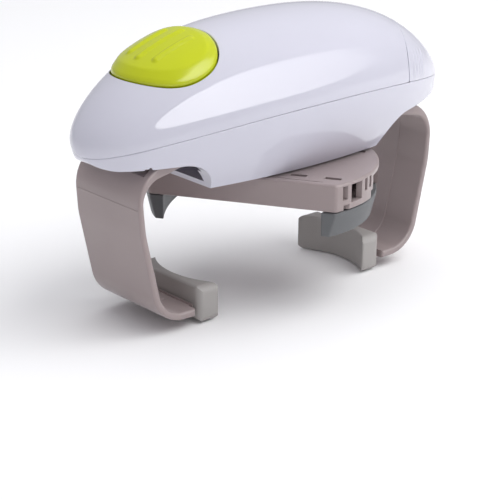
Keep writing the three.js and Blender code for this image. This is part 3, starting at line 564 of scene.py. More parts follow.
def seam_rim(x, side):
    """The rounded lower edge of the dome's wall, from its outer face round to its inner face."""
    angle = np.full(len(x), SEAM_ANGLE if side > 0 else math.pi - SEAM_ANGLE)
    outer = dome_point(x, angle)
    normal = dome_normal(outer)
    normal[np.abs(x) > HALF_LENGTH - 0.01] = [0, 0, 0]
    raised = (outer[:, 2] - seam_z(x))[:, None]
    rows = []
    for a in quarter(4):
        row = outer - normal * raised * (1 - math.cos(a))
        row[:, 2] = (seam_z(x)[:, None] + raised * (1 - math.sin(a)))[:, 0]
        rows.append(row)
    inner = outer - normal * shell_depth(x)
    low = inner.copy()
    low[:, 2] = seam_z(x)
    rows.extend([low, inner])
    return rows


def inner_rows(rows):
    """The dome's inner surface behind rows of its outer one."""
    return [row - dome_normal(row) * shell_depth(row[:, 0]) for row in rows]


def upper_housing():
    skin = Skin()
    angles = np.linspace(SEAM_ANGLE, math.pi - SEAM_ANGLE, COLUMNS)
    end = float(share_at(RING_X))
    along = np.linspace(0, end, 48)
    right = [(end, a) for a in angles]
    far_side = [(s, angles[-1]) for s in along[::-1][1:]]
    nose = [(0.0, a) for a in angles[::-1][1:]]
    near_side = [(s, angles[0]) for s in along[1:-1]]
    border = np.array(right + far_side + nose + near_side)

    turn = np.linspace(0, 2 * math.pi, 1441)
    x, y = button_outline(turn, 0)
    squeeze = 8.0  # makes a step in share about as long as a step in angle
    middle = float(share_at(BUTTON_X))
    facing = np.unwrap(np.arctan2(dome_angle(x, y) - math.pi / 2, squeeze * (share_at(x) - middle)))
    wanted = np.arctan2(border[:, 1] - math.pi / 2, squeeze * (border[:, 0] - middle))
    if facing[-1] < facing[0]:
        facing, turn = facing[::-1], turn[::-1]
    wanted = np.mod(wanted - facing[0], 2 * math.pi) + facing[0]
    x, y = button_outline(np.interp(wanted, facing, turn), 0)
    hole = np.stack([share_at(x), dome_angle(x, y)], axis=1)

    steps = np.concatenate([[0.05, 0.09, 0.13], np.linspace(0.18, 1, 30)])
    rows = []
    for step in steps:
        at = hole + (border - hole) * step
        rows.append(dome_point(x_at(at[:, 0]), at[:, 1]))
    edge = dome_point(x_at(hole[:, 0]), hole[:, 1])
    closed_edge = np.concatenate([edge[-1:], edge, edge[:1]])
    closed_next = np.concatenate([rows[0][-1:], rows[0], rows[0][:1]])
    rim = [row[1:-1] for row in lip(closed_edge, closed_next)]
    upright = np.maximum(dome_normal(edge)[:, 2:], 0.3)  # the hole's wall runs straight down
    rim[-2:] = [edge - [0, 0, EDGE], edge - [0, 0, 1] * (WALL / upright)]
    skin.grid(inner_rows(rows[3:])[::-1] + rim[::-1] + rows, closed=True)

    rows = cover_side_rows(angles, end, cover_gap)
    skin.grid(rows[:-1] + lip(rows[-1], rows[-2]) + inner_rows(rows[:-1])[::-1])
    for side, column in ((1, 0), (-1, -1)):
        tail = np.array([row[column][0] for row in rows[1:-1]])
        skin.grid(seam_rim(np.concatenate([x_at(along), tail]), side))
    thing = blunt_nose(solid(skin))
    return finish_piece(
        thing, "dome_shell", "housing", shell_plastic(), "shell_white", "upper_housing")


COVER_GAP = 0.12
COVER_OPENINGS = ((10.0, 0.75), (26.0, 0.5))  # distance from the middle plane, extra gap
COVER_OPENING_SPREAD = 3.2


def cover_gap(y):
    """The joint in front of the cover: close, and opening a little near its top and its foot."""
    away = np.abs(y)
    return COVER_GAP + sum(
        extra * np.exp(-((away - at) / COVER_OPENING_SPREAD) ** 2) for at, extra in COVER_OPENINGS)


def cover_side_rows(angles, start, gap):
    """Rows of the dome from a station to the cover's joint, which they bend to follow."""
    x = np.full(len(angles), COVER_PEAK_X)
    for _ in range(30):
        y = dome_point(x, angles)[:, 1]
        x = 0.5 * x + 0.5 * (cover_x(y) - gap(y))
    last = share_at(x)
    return [dome_point(x_at(start + (last - start) * s), angles) for s in np.linspace(0, 1, 72)]


RIB_COUNT = 4
RIB_PITCH = 2.1
RIB_FIRST = 3.2  # behind the cover's joint
RIB_HEIGHT = 0.4
RIB_HALF_WIDTH = RIB_PITCH * 0.36
RIB_FOOT = 1.0  # above the joint between the shells
RIB_TOP = 12.0


def finger_ribs(points):
    """How far the cover's finger ribs stand up: short upright ribs low on both sides."""
    behind = points[:, 0] - cover_x(points[:, 1])
    above = points[:, 2] - seam_z(points[:, 0])
    fade = np.clip((above - RIB_FOOT) / 1.5, 0, 1) * np.clip((RIB_TOP - above) / 2.5, 0, 1)
    height = np.zeros(len(points))
    for i in range(RIB_COUNT):
        off = (behind - RIB_FIRST - RIB_PITCH * i) / RIB_HALF_WIDTH
        height = np.maximum(height, np.clip(1 - off * off, 0, 1))
    return RIB_HEIGHT * height * fade


def battery_cover():
    skin = Skin()
    angles = np.linspace(SEAM_ANGLE, math.pi - SEAM_ANGLE, 161)
    first = cover_side_rows(angles, 0.5, np.zeros_like)[-1]
    start = share_at(first[:, 0])
    shares = np.concatenate([[0, 0.012], np.linspace(0.025, 0.75, 80), np.linspace(0.77, 1, 16)])
    rows = [dome_point(x_at(start + (1 - start) * s), angles) for s in shares]
    shown = [row + dome_normal(row) * finger_ribs(row)[:, None] for row in rows]
    front = lip(rows[0], rows[1])
    skin.grid(front[::-1] + shown[1:])
    skin.grid([front[-1]] + inner_rows(rows[1:]))
    for side, column in ((1, 0), (-1, -1)):
        skin.grid(seam_rim(np.array([row[column][0] for row in rows]), side))
    thing = solid(skin)
    return finish_piece(
        thing, "ribbed_cover", "cover", shell_plastic(), "shell_white", "battery_cover")


# ---- blunt nose

NOSE_FROM = -66.0
NOSE_TUCK = 4.6  # how far the tip draws in at the joint between the shells
NOSE_TUCK_HEIGHT = 15.0
NOSE_UNDER = 2.6  # how much further the tip draws in below the joint
NOSE_UNDER_DEPTH = 5.0


def blunt_nose(thing):
    """Draws the nose in near and below the joint, so that it is roundest a little above it."""
    mesh = thing.data
    points = read(mesh.vertices, "co", len(mesh.vertices) * 3)
    points = points.reshape(-1, 3) / MM - [0, 0, SEAM_HEIGHT]
    near = np.clip((NOSE_FROM - points[:, 0]) / (HALF_LENGTH + NOSE_FROM), 0, 1) ** 2
    height = points[:, 2] - seam_z(points[:, 0])
    above = np.clip(height / NOSE_TUCK_HEIGHT, 0, 1)
    below = np.clip(-height / NOSE_UNDER_DEPTH, 0, 1)
    points[:, 0] += near * (NOSE_TUCK * (1 - above) ** 2 + NOSE_UNDER * below ** 1.5)
    mesh.vertices.foreach_set("co", place(points).ravel())
    mesh.update()
    return thing


# ---- start button

BUTTON_BAND = 4.2  # width of the sloping band round the button's face
BUTTON_BAND_SLOPE = 0.42
BUTTON_CREASE = 0.22  # softness of the bend between the band and the face
BUTTON_EDGE = 1.7  # width of the rounding at the band's foot
BUTTON_SINK = 0.9  # how far the foot runs down into its hole
BUTTON_SKIRT = 4.0
BUTTON_SKIN = 1.7
BUTTON_THICK = 2.0
STEM_X = -46.0
STEM_Z = 11.7
STEM_RADIUS = 5.0
STEM_HEAD = 1.2  # below the button's face
STEM_PIN = (2, 5.3, 12)  # radius, foot and head
PAST_BAND = 99.0  # further in from the outline than the band is wide
RIDGE_X = -48.5
RIDGE_SPACING = 7.0
RIDGE_HALF_WIDTH = 1.6
RIDGE_HEIGHT = 0.85


def ridge_height(x, y):
    """Three plain raised bars that a finger finds by touch."""
    height = np.zeros_like(x)
    for i, reach in ((-1, 7.5), (0, 9.5), (1, 7.5)):
        aside = y - i * RIDGE_SPACING
        past = np.maximum(np.abs(x - RIDGE_X) - reach, 0)
        off = np.sqrt(aside ** 2 + past ** 2) / RIDGE_HALF_WIDTH
        height = np.maximum(height, np.clip(1 - off ** 2, 0, 1) ** 1.3)
    return RIDGE_HEIGHT * height


def button_rows(turn, distances, height, centre_steps, start=0.0):
    """Rows inwards from the button's outline, and the last ones to its centre."""
    rows = []
    for d in distances:
        x, y = button_outline(turn, -BUTTON_GAP - start - d)
        rows.append(raised_point(x, y, height(np.full_like(x, d), x, y)))
    for share in np.linspace(1, 0, centre_steps + 1)[1:]:
        cx, cy = BUTTON_X + (x - BUTTON_X) * share, y * share
        rows.append(raised_point(cx, cy, height(np.full_like(cx, PAST_BAND), cx, cy)))
    return rows


def sunk_point(x, y, depth):
    return dome_point(x, dome_angle(x, y)) - [0, 0, depth]


def raised_point(x, y, height):
    on = dome_point(x, dome_angle(x, y))
    return on + dome_normal(on) * height[:, None]


def start_button():
    turn = np.linspace(0, 2 * math.pi, 300, endpoint=False)

    def top(d, x, y):
        band = BUTTON_BAND_SLOPE * BUTTON_CREASE * np.log1p(np.exp((BUTTON_BAND - d) / BUTTON_CREASE))
        foot = BUTTON_PROUD + BUTTON_SINK - BUTTON_BAND_SLOPE * BUTTON_BAND
        edge = foot * (1 - np.sqrt(1 - np.clip(1 - d / BUTTON_EDGE, 0, 1) ** 2))
        return BUTTON_PROUD - band - edge + ridge_height(x, y)

    def under(d, x, y):
        return np.full_like(x, BUTTON_PROUD - BUTTON_THICK)

    edge = [BUTTON_EDGE * (1 - math.cos(a)) for a in np.linspace(0, math.pi / 2, 9)]
    crease = list(np.linspace(BUTTON_BAND - 1.1, BUTTON_BAND + 1.1, 12))
    band = list(np.linspace(BUTTON_EDGE, crease[0], 5)[1:-1])
    rows = button_rows(turn, edge + band + crease + list(np.linspace(crease[-1], 12, 20)[1:]), top, 44)
    x, y = button_outline(turn, -BUTTON_GAP)
    skirt = sunk_point(x, y, BUTTON_SKIRT)
    x, y = button_outline(turn, -BUTTON_GAP - BUTTON_SKIN)
    inner_skirt = sunk_point(x, y, BUTTON_SKIRT)
    hollow = button_rows(turn, [0.0, 2.0, 5.0, 8.0], under, 6, BUTTON_SKIN)
    skin = Skin().grid(hollow[::-1] + [inner_skirt, skirt] + rows, closed=True)
    foot = np.stack([STEM_X + STEM_RADIUS * np.cos(turn), STEM_RADIUS * np.sin(turn)], axis=1)
    head = raised_point(foot[:, 0], foot[:, 1], np.full(len(foot), BUTTON_PROUD - STEM_HEAD))
    foot = np.column_stack([foot, np.full(len(foot), STEM_Z)])
    skin.add(tube([foot, head]))
    skin.add(rod(*STEM_PIN, STEM_X, 0))
    return finish_piece(
        solid(skin), "lime_button", "button", button_plastic(), "button_green", "start_button")


# ---- button spring

COIL_RADIUS = 3.9
COIL_WIRE = 0.4
COIL_TURNS = 4
COIL_Z = (4.95, 11.0)  # the middle of the wire, from the foot of the coil to its head


def press_coil():
    """The spring under the button, built at its rest length; nothing here shortens it as the button goes
    down.
    """
    around = np.linspace(0, 2 * math.pi, 12, endpoint=False)
    rows = []
    for t in np.linspace(0, 1, COIL_TURNS * 32 + 1):
        a = 2 * math.pi * COIL_TURNS * t
        out = np.array([math.cos(a), math.sin(a), 0])
        middle = out * COIL_RADIUS + [STEM_X, 0, COIL_Z[0] + (COIL_Z[1] - COIL_Z[0]) * t]
        ways = [out * math.cos(b) + np.array([0, 0, math.sin(b)]) for b in around]
        rows.append([middle + COIL_WIRE * way for way in ways])
    skin = tube(rows)
    thing = finish_piece(
        solid(skin), "press_coil", "housing", plain_steel(), "steel", "button_spring")
    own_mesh(thing)


# ---- lower shell


def side_outline():
    """Lower side outline of the lower shell, from nose to tail, as x and z."""
    pieces = [
        curve((-HALF_LENGTH, -11.6), (-90, -17.2), (-79, RIM_NOSE_Z - 0.3), 24),
        curve((-79, RIM_NOSE_Z - 0.3), (-70, RIM_NOSE_Z), (-57, RIM_NOSE_Z), 12),
        curve((-57, RIM_NOSE_Z), (-46.5, -16.5), (-SKIRT_HALF_LENGTH, SKIRT_Z), 30),
        np.stack([np.linspace(-SKIRT_HALF_LENGTH, SKIRT_HALF_LENGTH, 40, endpoint=False),
                  np.full(40, SKIRT_Z)], axis=1),
        curve((SKIRT_HALF_LENGTH, SKIRT_Z), (45.5, -15.9), (55, -15.2), 30),
        curve((55, -15.2), (65.5, -14.4), (76, RIM_TAIL_Z), 12),
        curve((76, RIM_TAIL_Z), (86, -12.4), (HALF_LENGTH, -8.6), 30),
    ]
    return np.concatenate(pieces)


def flank_half_width(x, z, set_in=0.0):
    base = seam_z(x) - GAP
    share = np.clip((z - base) / (SKIRT_Z - base), 0, 1)
    return plan_half_width(x, set_in) * (1 - SKIRT_SHRINK * share ** SKIRT_CURVE)


LOWER_EDGE = 0.6  # rounding of the lower shell's bottom edges
LEAST_HEIGHT = 0.15  # the lower shell stops where it would be lower than this


def flank_outer():
    """The lower shell as a full body, its lower edges rounded."""
    rows = []
    for x, low in side_outline():
        top = float(seam_z(x)) - SEAM_GAP
        if top - low < LEAST_HEIGHT:
            continue
        r = min(LOWER_EDGE, (top - low) / 3)
        shoulder = min(EDGE, (top - low) / 6)
        side = []
        for a in quarter(3):
            z = top - shoulder * (1 - math.sin(a))
            side.append((float(flank_half_width(x, z)) - shoulder * (1 - math.cos(a)), z))
        side = side[::-1]
        for z in np.linspace(top - shoulder, low + r, 15)[1:]:
            side.append((float(flank_half_width(x, z)), z))
        wide = side[-1][0]
        for a in quarter(4)[1:]:
            side.append((max(wide - r * (1 - math.cos(a)), 0.01), low + r * (1 - math.sin(a))))
        right = [(x, y, z) for y, z in side]
        left = [(x, -y, z) for y, z in side[::-1]]
        rows.append(right + left)
    return tube(rows)


def flank_inside(x0, x1, z0, z1, set_in=WALL):
    """The room inside the lower shell's wall between two stations and two levels."""
    rows = []
    for share in np.linspace(float(share_at(x0)), float(share_at(x1)), 70):
        x = float(x_at(share))
        levels = np.linspace(z1, z0, 16)
        half = [max(float(flank_half_width(x, z, set_in)), 0.02) for z in levels]
        rows.append([(x, y, z) for y, z in zip(half, levels)]
                    + [(x, -y, z) for y, z in zip(half[::-1], levels[::-1])])
    return tube(rows)


# rooms inside the lower shell, by their distance from its middle
INSIDE_END = 87.5
SKIRT_ROOM_END = 60
END_ROOM_FROM = 49
BELOW = -30  # under the whole shell
ARM_SLOT_HALF_WIDTH = 20.1
ARM_SLOT_LOW = -20.9
ARM_SLOT_STEPS = [(68.9, DECK_BOTTOM), (70.0, -14.95), (71.6, -15.4)]  # reach and top of the slots
HOUSING_SCREWS = [(-75, -7.5), (-75, 7.5), (46.5, -20.5), (46.5, 20.5)]
PLATE_POSTS = [(-32, -19), (-32, 19), (12.5, 19), (12.5, -19)]

# rods, as radius, foot and head
PLATE_POST = (3, -12.6, -1.5)
SCREW_HOLE = (1.6, -20, 10)
SCREW_HEAD_HOLE = (3, -20, -11.4)
BUSH_HOLES = [(7.3, BELOW, -20), (5.6, -15, -10)]

SCREW_BOSS_RADIUS = 3.9
BOSS_SET_IN = 0.8
BULKHEADS = [(18.6, 19.9, -14.5, 14.5, -12.6, 3), (74.4, 75.6, -9, 9, -12.6, 0)]
CELL_CRADLES = [(28, 30, -13.5, 13.5, -12.6, -9.3), (62, 64, -13.5, 13.5, -12.6, -9.3)]


def lower_housing():
    thing = solid(flank_outer())
    cut(thing, flank_inside(-INSIDE_END, INSIDE_END, DECK_TOP, 25))
    room = [(-40.2, SKIRT_FLOOR_TOP), (40.2, SKIRT_FLOOR_TOP), (42.2, -22.5), (45, -19),
            (45, DECK_BOTTOM), (-45, DECK_BOTTOM), (-45, -19), (-42.2, -22.5)]
    inside = solid(flank_inside(-SKIRT_ROOM_END, SKIRT_ROOM_END, BELOW, -10))
    cut(thing, meet(inside, prism(room, -FAR, FAR, across="y")))
    cut(thing, flank_inside(-INSIDE_END, -END_ROOM_FROM, BELOW, DECK_BOTTOM))
    cut(thing, flank_inside(END_ROOM_FROM, INSIDE_END, BELOW, DECK_BOTTOM))
    half = ARM_SLOT_HALF_WIDTH
    for reach, top in ARM_SLOT_STEPS:
        cut(thing, box(-reach, reach, -half, half, ARM_SLOT_LOW, top))
    half = MOUTH_HALF_WIDTH
    for x0, x1 in ((-SKIRT_ROOM_END, -MOUTH_FROM), (MOUTH_FROM, SKIRT_ROOM_END)):
        cut(thing, box(x0, x1, -half, half, SKIRT_FLOOR_TOP, DECK_BOTTOM))
    for x, y in HOUSING_SCREWS:
        boss = solid(rod(SCREW_BOSS_RADIUS, DECK_BOTTOM, float(seam_z(x)) - GAP, x, y))
        join(thing, meet(boss, flank_inside(-85, 85, -20, 10, BOSS_SET_IN)))
        cut(thing, rod(*SCREW_HOLE, x, y), rod(*SCREW_HEAD_HOLE, x, y))
    for hole in BUSH_HOLES:
        cut(thing, rod(*hole))
    for x, y in PLATE_POSTS:
        join(thing, rod(*PLATE_POST, x, y))
    for wall in BULKHEADS + CELL_CRADLES:
        join(thing, box(*wall))
    blunt_nose(thing)
    return finish_piece(
        thing, "skirt_shell", "housing", shell_plastic(), "shell_white", "lower_housing", limit=32)


# ---- arms and their pads

ARM_HALF_WIDTH = 19.53
ARM_EDGE = 1.0
ARM_SIDE = [
    (51.5, -14.45, 0), (51.5, -16.9, 0), (61, -19.2, 6), (72.8, -21.4, 9), (71.1, -39.9, 32),
    (63.2, -73.9, 11.5), (48.8, -73.9, 0), (48.8, -76.9, 0), (65.5, -76.9, 14.6),
    (73.7, -39.9, 35), (75.4, -14.45, 15)]
ARM_RIB = [
    (51.5, -16, 0), (51.5, -17.2, 0), (61, -19.5, 6), (72.55, -21.7, 8.7), (70.85, -39.9, 32),
    (62.95, -73.65, 11.2), (51, -73.65, 0), (51, -75.5, 0), (64.5, -75.5, 13.6),
    (72.6, -39.9, 34), (74, -16, 14)]
ARM_RIB_HALF_WIDTH = 4.2
ARM_RIB_EDGE = 0.25
ARM_POCKET = (60, 80, 9.5, 16.8, -19, -10)
ARM_CREASE = (74.22, 76, -30.5, -30.2)  # a fine line where the strap starts to bend over
ARM_NECK = (45, 49.2, -15, 15, -76.9, -73.9)  # joins the strap to the pad
PAD_PLATE = (47.8, 48.2, -16.6, 16.6, -78.4, -73.1)  # a thin plate that shows behind the pad

PITCH = math.pi
TOOTH_TIP = 0.8
TOOTH_ROOT = 1.2
RACK_V = 8.0  # the pitch line, from the middle plane
RACK_U = (-11, 24)
RACK_BACK = 14
RACK_Z = (-19.8, -14.7)
TONGUE_U = (23.9, 52.2)


def rack_outline():
    """The straight rack in plan, its teeth towards -y and a gap between two of them at x = 0."""
    (start, stop), tip, root = RACK_U, RACK_V - TOOTH_TIP, RACK_V + TOOTH_ROOT
    at_tip, at_root, shift = PITCH / 4 - 0.37, PITCH / 4 + 0.36, PITCH / 2
    first = math.ceil((start + at_root - shift) / PITCH)
    last = math.floor((stop - at_root - shift) / PITCH)
    points = [(start, root)]
    for k in range(first, last + 1):
        middle = shift + k * PITCH
        for aside, y in ((-at_root, root), (-at_tip, tip), (at_tip, tip), (at_root, root)):
            points.append((middle + aside, y))
    return points + [(stop, root), (stop, RACK_BACK), (start, RACK_BACK)]


def arm(name, body, node, angle):
    side = rounded(ARM_SIDE, 12)
    strap = solid(prism(side, -ARM_HALF_WIDTH, ARM_HALF_WIDTH, ARM_EDGE, ARM_EDGE, across="y"))
    x0, x1, y0, y1, z0, z1 = ARM_POCKET
    cut(strap, box(x0, x1, y0, y1, z0, z1), box(x0, x1, -y1, -y0, z0, z1))
    x0, x1, z0, z1 = ARM_CREASE
    cut(strap, box(x0, x1, -FAR, FAR, z0, z1))
    half, edge = ARM_RIB_HALF_WIDTH, ARM_RIB_EDGE
    join(strap, prism(rounded(ARM_RIB, 12), -half, half, edge, edge, across="y"))
    join(strap, box(*TONGUE_U, RACK_V + TOOTH_ROOT, RACK_BACK, *RACK_Z))
    join(strap, prism(rack_outline(), *RACK_Z))
    join(strap, box(*ARM_NECK))
    join(strap, box(*PAD_PLATE, edge=0.2))
    spin(strap, angle)
    return finish_piece(strap, name, body, arm_plastic(), "arm_taupe", node)


PAD_TIP = 37.4
PAD_HOLLOW = 6.5
PAD_BACK = 47.2
PAD_HALF_WIDTH = 19.5
PAD_Z = (-81.0, -66.0)


def arm_pad(name, body, node, angle):
    """The rubber pad: its plan with a hollow front, rounded by its end view and its side view."""
    half, (low, high) = PAD_HALF_WIDTH, PAD_Z
    radius = (half ** 2 + PAD_HOLLOW ** 2) / (2 * PAD_HOLLOW)
    reach = math.asin((half - 0.7) / radius)
    hollow = [(PAD_TIP + PAD_HOLLOW - radius + radius * math.cos(reach * s), -radius * math.sin(reach * s))
              for s in np.linspace(-1, 1, 41)]
    start = hollow[0][0] - 0.25
    corners = [(start, -half, 0.7), (PAD_BACK, -half, 3.2), (PAD_BACK, half, 3.2), (start, half, 0.7)]
    outline = np.concatenate([rounded(corners, 8), hollow])
    plan = solid(prism(outline, low, high, 0.8, 0.8))
    end = rounded([(-half, low, 3.4), (half, low, 3.4), (half, high, 3.4), (-half, high, 3.4)], 10)
    across = prism(end, 30, 52, across="y")
    across.points = [np.array([p[1], p[0], p[2]]) for p in across.points]
    side = rounded([(PAD_TIP - 0.1, low, 3.0), (PAD_BACK, low, 4.6),
                    (PAD_BACK, high, 1.2), (PAD_TIP - 0.1, high, 3.0)], 8)
    thing = meet(meet(plan, across), prism(side, -FAR, FAR, across="y"))
    spin(thing, angle)
    return finish_piece(thing, name, body, pad_rubber(), "grip_rubber", node)


# ---- turning bar and lid jaws

BAR_ANGLE = math.radians(-58)
BAR_RADIUS = 45.5
BAR_HALF_WIDTH = 26.6
BAR_Z = (-39.5, -28.84)
BAR_TOP = 2.0
BAR_END = (36, 50)  # cuts through an end wall run from here to here
# the windows' distance along the end, half width and sill
BAR_WINDOWS = [(22.6, 1.2, -35.4), (16.5, 3.2, -37.0), (10.3, 1.0, -34.8), (6.5, 0.95, -34.6)]
BAR_WINDOW_TOP = -30.04
BAR_RECESS = (-3.5, 13.8)  # along the end
BAR_RECESS_BACK = 41.6
BAR_RECESS_WALL = 1.3
BAR_RECESS_LOW = -37
BAR_NOTCH = (20.6, 23.4, -37.4)
BAR_LINE = (9.0, 31.0, -24.2, -23.75)  # a fine groove along one edge of the top
BAR_LINE_DEPTH = 0.35
BAR_SLOT_U = (20.3, 33.6)
BAR_SLOT_V = 18.7
BAR_SLOT_HALF = (3.2, 1.2)
BAR_SCREW_V = 20
JAW_SLOT = (-5.6, 13.4)  # in the bar's end walls
JAW_SLOT_TOP = -36.3
BASE_SLOT = (11.4, 60, -5.8, 13.6)  # in the bar's base plate, wider by a little
BASE_Z = (-39.3, -37.3)
BASE_CUT = (-41, -36)  # through the whole base plate


def bar_outline(set_in):
    """The bar in plan: straight sides and round ends, with rounded corners."""
    outer, half, corner = BAR_RADIUS - set_in, BAR_HALF_WIDTH - set_in, max(1.8 - set_in, 0.3)
    x, y = math.sqrt((outer - corner) ** 2 - (half - corner) ** 2), half - corner
    lean = math.atan2(y, x)
    arc = np.array([(outer * math.cos(a), outer * math.sin(a)) for a in np.linspace(-lean, lean, 25)])
    turns = np.linspace(lean, math.pi / 2, 7)[1:]
    side = np.array([(x + corner * math.cos(a), y + corner * math.sin(a)) for a in turns])
    end = np.concatenate([side[::-1] * [1, -1], arc, side])
    return np.concatenate([end, end * [-1, -1]])


def end_box(end, u0, u1, v0, v1, z0, z1):
    """A box in one end of the bar; the other end has the same one turned half round."""
    return box(*sorted((u0 * end, u1 * end)), *sorted((v0 * end, v1 * end)), z0, z1)


def bar_shell():
    low, high = BAR_Z
    thing = solid(prism(bar_outline(0), low, high, 0.5, 1.0))
    cut(thing, prism(bar_outline(WALL), low - 1, high - BAR_TOP, 0, 0.5))
    v0, v1 = BAR_RECESS
    back, front = BAR_RECESS_BACK, BAR_RECESS_BACK - BAR_RECESS_WALL
    wall0, wall1 = v0 - BAR_RECESS_WALL, v1 + BAR_RECESS_WALL
    for end in (1, -1):
        for v, half, sill in BAR_WINDOWS:
            cut(thing, end_box(end, *BAR_END, -v - half, -v + half, sill, BAR_WINDOW_TOP))
        cut(thing, end_box(end, *BAR_END, -BAR_NOTCH[1], -BAR_NOTCH[0], low - 1, BAR_NOTCH[2]))
        cut(thing, end_box(end, back, BAR_END[1], v0, v1, low - 1, high - BAR_TOP))
        join(thing, end_box(end, front, back, wall0, wall1, BAR_RECESS_LOW, high - 1))
        join(thing, end_box(end, front, 44.6, wall0, v0, BAR_RECESS_LOW, high - 1))
        cut(thing, end_box(end, *BAR_END, *JAW_SLOT, low - 1, JAW_SLOT_TOP))
        cut(thing, end_box(end, *BAR_LINE, high - BAR_LINE_DEPTH, -28))
        for u in BAR_SLOT_U:
            for v in (-BAR_SLOT_V, BAR_SLOT_V):
                middle, (along, over) = u * end, BAR_SLOT_HALF
                cut(thing, box(middle - along, middle + along, v - over, v + over, -32, -28))
    for v in (-BAR_SCREW_V, BAR_SCREW_V):
        join(thing, rod(3, -37, high - 1, 0, v))
        cut(thing, rod(1.15, -38, -32, 0, v))
    cut(thing, rod(5.3, -32, -28))
    spin(thing, BAR_ANGLE)
    return finish_piece(
        thing, "bar_shell", "turning_bar", arm_plastic(), "arm_taupe", "lid_bar", limit=32)


def bar_cover():
    thing = solid(prism(bar_outline(WALL + GAP), *BASE_Z, 0.3, 0))
    for end in (1, -1):
        cut(thing, end_box(end, *BASE_SLOT, *BASE_CUT))
    for v in (-BAR_SCREW_V, BAR_SCREW_V):
        cut(thing, rod(1.6, *BASE_CUT, 0, v), rod(2.8, BASE_CUT[0], -38.2, 0, v))
    cut(thing, rod(2.4, *BASE_CUT))
    spin(thing, BAR_ANGLE)
    return finish_piece(
        thing, "bar_base", "turning_bar", arm_plastic(), "arm_taupe", "lid_bar_cover", limit=32)


JAW_HALF_WIDTH = 26.0
JAW_INNER = 35.0
JAW_INNER_EDGE = 31.0
JAW_OUTER = 43.6
JAW_Z = (-49.5, -40.0)
JAW_EDGE = 0.5
JAW_FLARE = 1.2  # the top stands out past the outer radius
JAW_TUCK = 0.6  # the foot draws in from it
JAW_LIP = 1.6


def jaw_pad(name, body, node, angle):
    depth = JAW_INNER - JAW_INNER_EDGE
    radius = (JAW_HALF_WIDTH ** 2 + depth ** 2) / (2 * depth)
    low, high = JAW_Z
    places = []
    for a in quarter(4):
        places.append((-JAW_HALF_WIDTH + JAW_EDGE * (1 - math.cos(a)), JAW_EDGE * (1 - math.sin(a))))
    middle = [(v, 0.0) for v in np.linspace(-JAW_HALF_WIDTH, JAW_HALF_WIDTH, 34)[1:-1]]
    places = places + middle + [(-v, e) for v, e in places[::-1]]
    rows = []
    for v, set_in in places:
        face = JAW_INNER - radius + math.sqrt(radius ** 2 - v ** 2)
        top = math.sqrt((JAW_OUTER + JAW_FLARE) ** 2 - v ** 2)
        bottom = math.sqrt((JAW_OUTER - JAW_TUCK) ** 2 - v ** 2)
        section = anticlockwise(rounded([
            (face, low, JAW_EDGE), (face, high, JAW_EDGE), (top, high, JAW_EDGE),
            (top, high - JAW_LIP, JAW_EDGE), (bottom, low, JAW_EDGE)], 4))
        if set_in:
            section = inset(section, set_in * 0.98)
        rows.append([(u, v, z) for u, z in section])
    skin = tube(rows).turned(BAR_ANGLE + angle)
    # Painted shade: the jaw shoes get the darker, shaded copy of the grip rubber.
    return finish_piece(solid(skin), name, body, jaw_rubber_painted_shade(), "grip_rubber", node)


# ---- materials

made = {}


class Graph:
    """A small helper for one material's nodes."""

    def __init__(self, name):
        self.material = bpy.data.materials.new(name)
        self.material.use_nodes = True
        self.nodes = self.material.node_tree.nodes
        self.links = self.material.node_tree.links
        self.shader = self.nodes["Principled BSDF"]
        self.place = self.nodes.new("ShaderNodeTexCoord")

    def noise(self, scale, detail=4.0, rough=0.5, stretch=(1, 1, 1)):
        mapping = self.nodes.new("ShaderNodeMapping")
        set_inputs(mapping, {"Scale": stretch})
        self.links.new(self.place.outputs["Object"], mapping.inputs["Vector"])
        noise = self.nodes.new("ShaderNodeTexNoise")
        set_inputs(noise, {"Scale": scale, "Detail": detail, "Roughness": rough})
        self.links.new(mapping.outputs["Vector"], noise.inputs["Vector"])
        return noise.outputs["Fac"]

    def ramp(self, value, stops):
        ramp = self.nodes.new("ShaderNodeValToRGB")
        elements = ramp.color_ramp.elements
        while len(elements) < len(stops):
            elements.new(0.5)
        for element, (position, colour) in zip(elements, stops):
            element.position = position
            element.color = (*colour, 1)
        self.links.new(value, ramp.inputs["Fac"])
        return ramp.outputs["Color"]

    def span(self, value, low, high):
        node = self.nodes.new("ShaderNodeMapRange")
        set_inputs(node, {"From Min": 0.3, "From Max": 0.7, "To Min": low, "To Max": high})
        self.links.new(value, node.inputs["Value"])
        return node.outputs["Result"]

    def bump(self, value, strength, distance):
        node = self.nodes.new("ShaderNodeBump")
        set_inputs(node, {"Strength": strength, "Distance": distance})
        self.links.new(value, node.inputs["Height"])
        self.links.new(node.outputs["Normal"], self.shader.inputs["Normal"])

    def feed(self, name, output):
        self.links.new(output, self.shader.inputs[name])


def tint(colour, factor):
    return tuple(min(1.0, c * factor) for c in colour)


def moulded(name, colour, spread, roughness, grain_scale, grain, blotch=30.0):
    """Moulded plastic or rubber: a slow drift of tone, uneven gloss and a fine moulded grain."""
    if name in made:
        return made[name]
    graph = Graph(name)
    drift = graph.noise(blotch, 3)
    tones = [(0.3, tint(colour, 1 - spread)), (0.7, tint(colour, 1 + spread))]
    graph.feed("Base Color", graph.ramp(drift, tones))
    graph.feed("Roughness", graph.span(graph.noise(blotch * 3, 5), *roughness))
    graph.bump(graph.noise(grain_scale, 6, 0.6), grain, 0.0001)
    made[name] = graph
    return graph


def shell_plastic():
    graph = moulded("gloss_shell", (0.655, 0.65, 0.735), 0.012, (0.05, 0.08), 220, 0.03)
    set_inputs(graph.shader, {"Coat Weight": 0.25, "Coat Roughness": 0.03, "Coat IOR": 1.5})
    return graph.material


def button_plastic():
    return moulded("lime_plastic", (0.55, 0.61, 0.008), 0.02, (0.15, 0.20), 900, 0.10).material


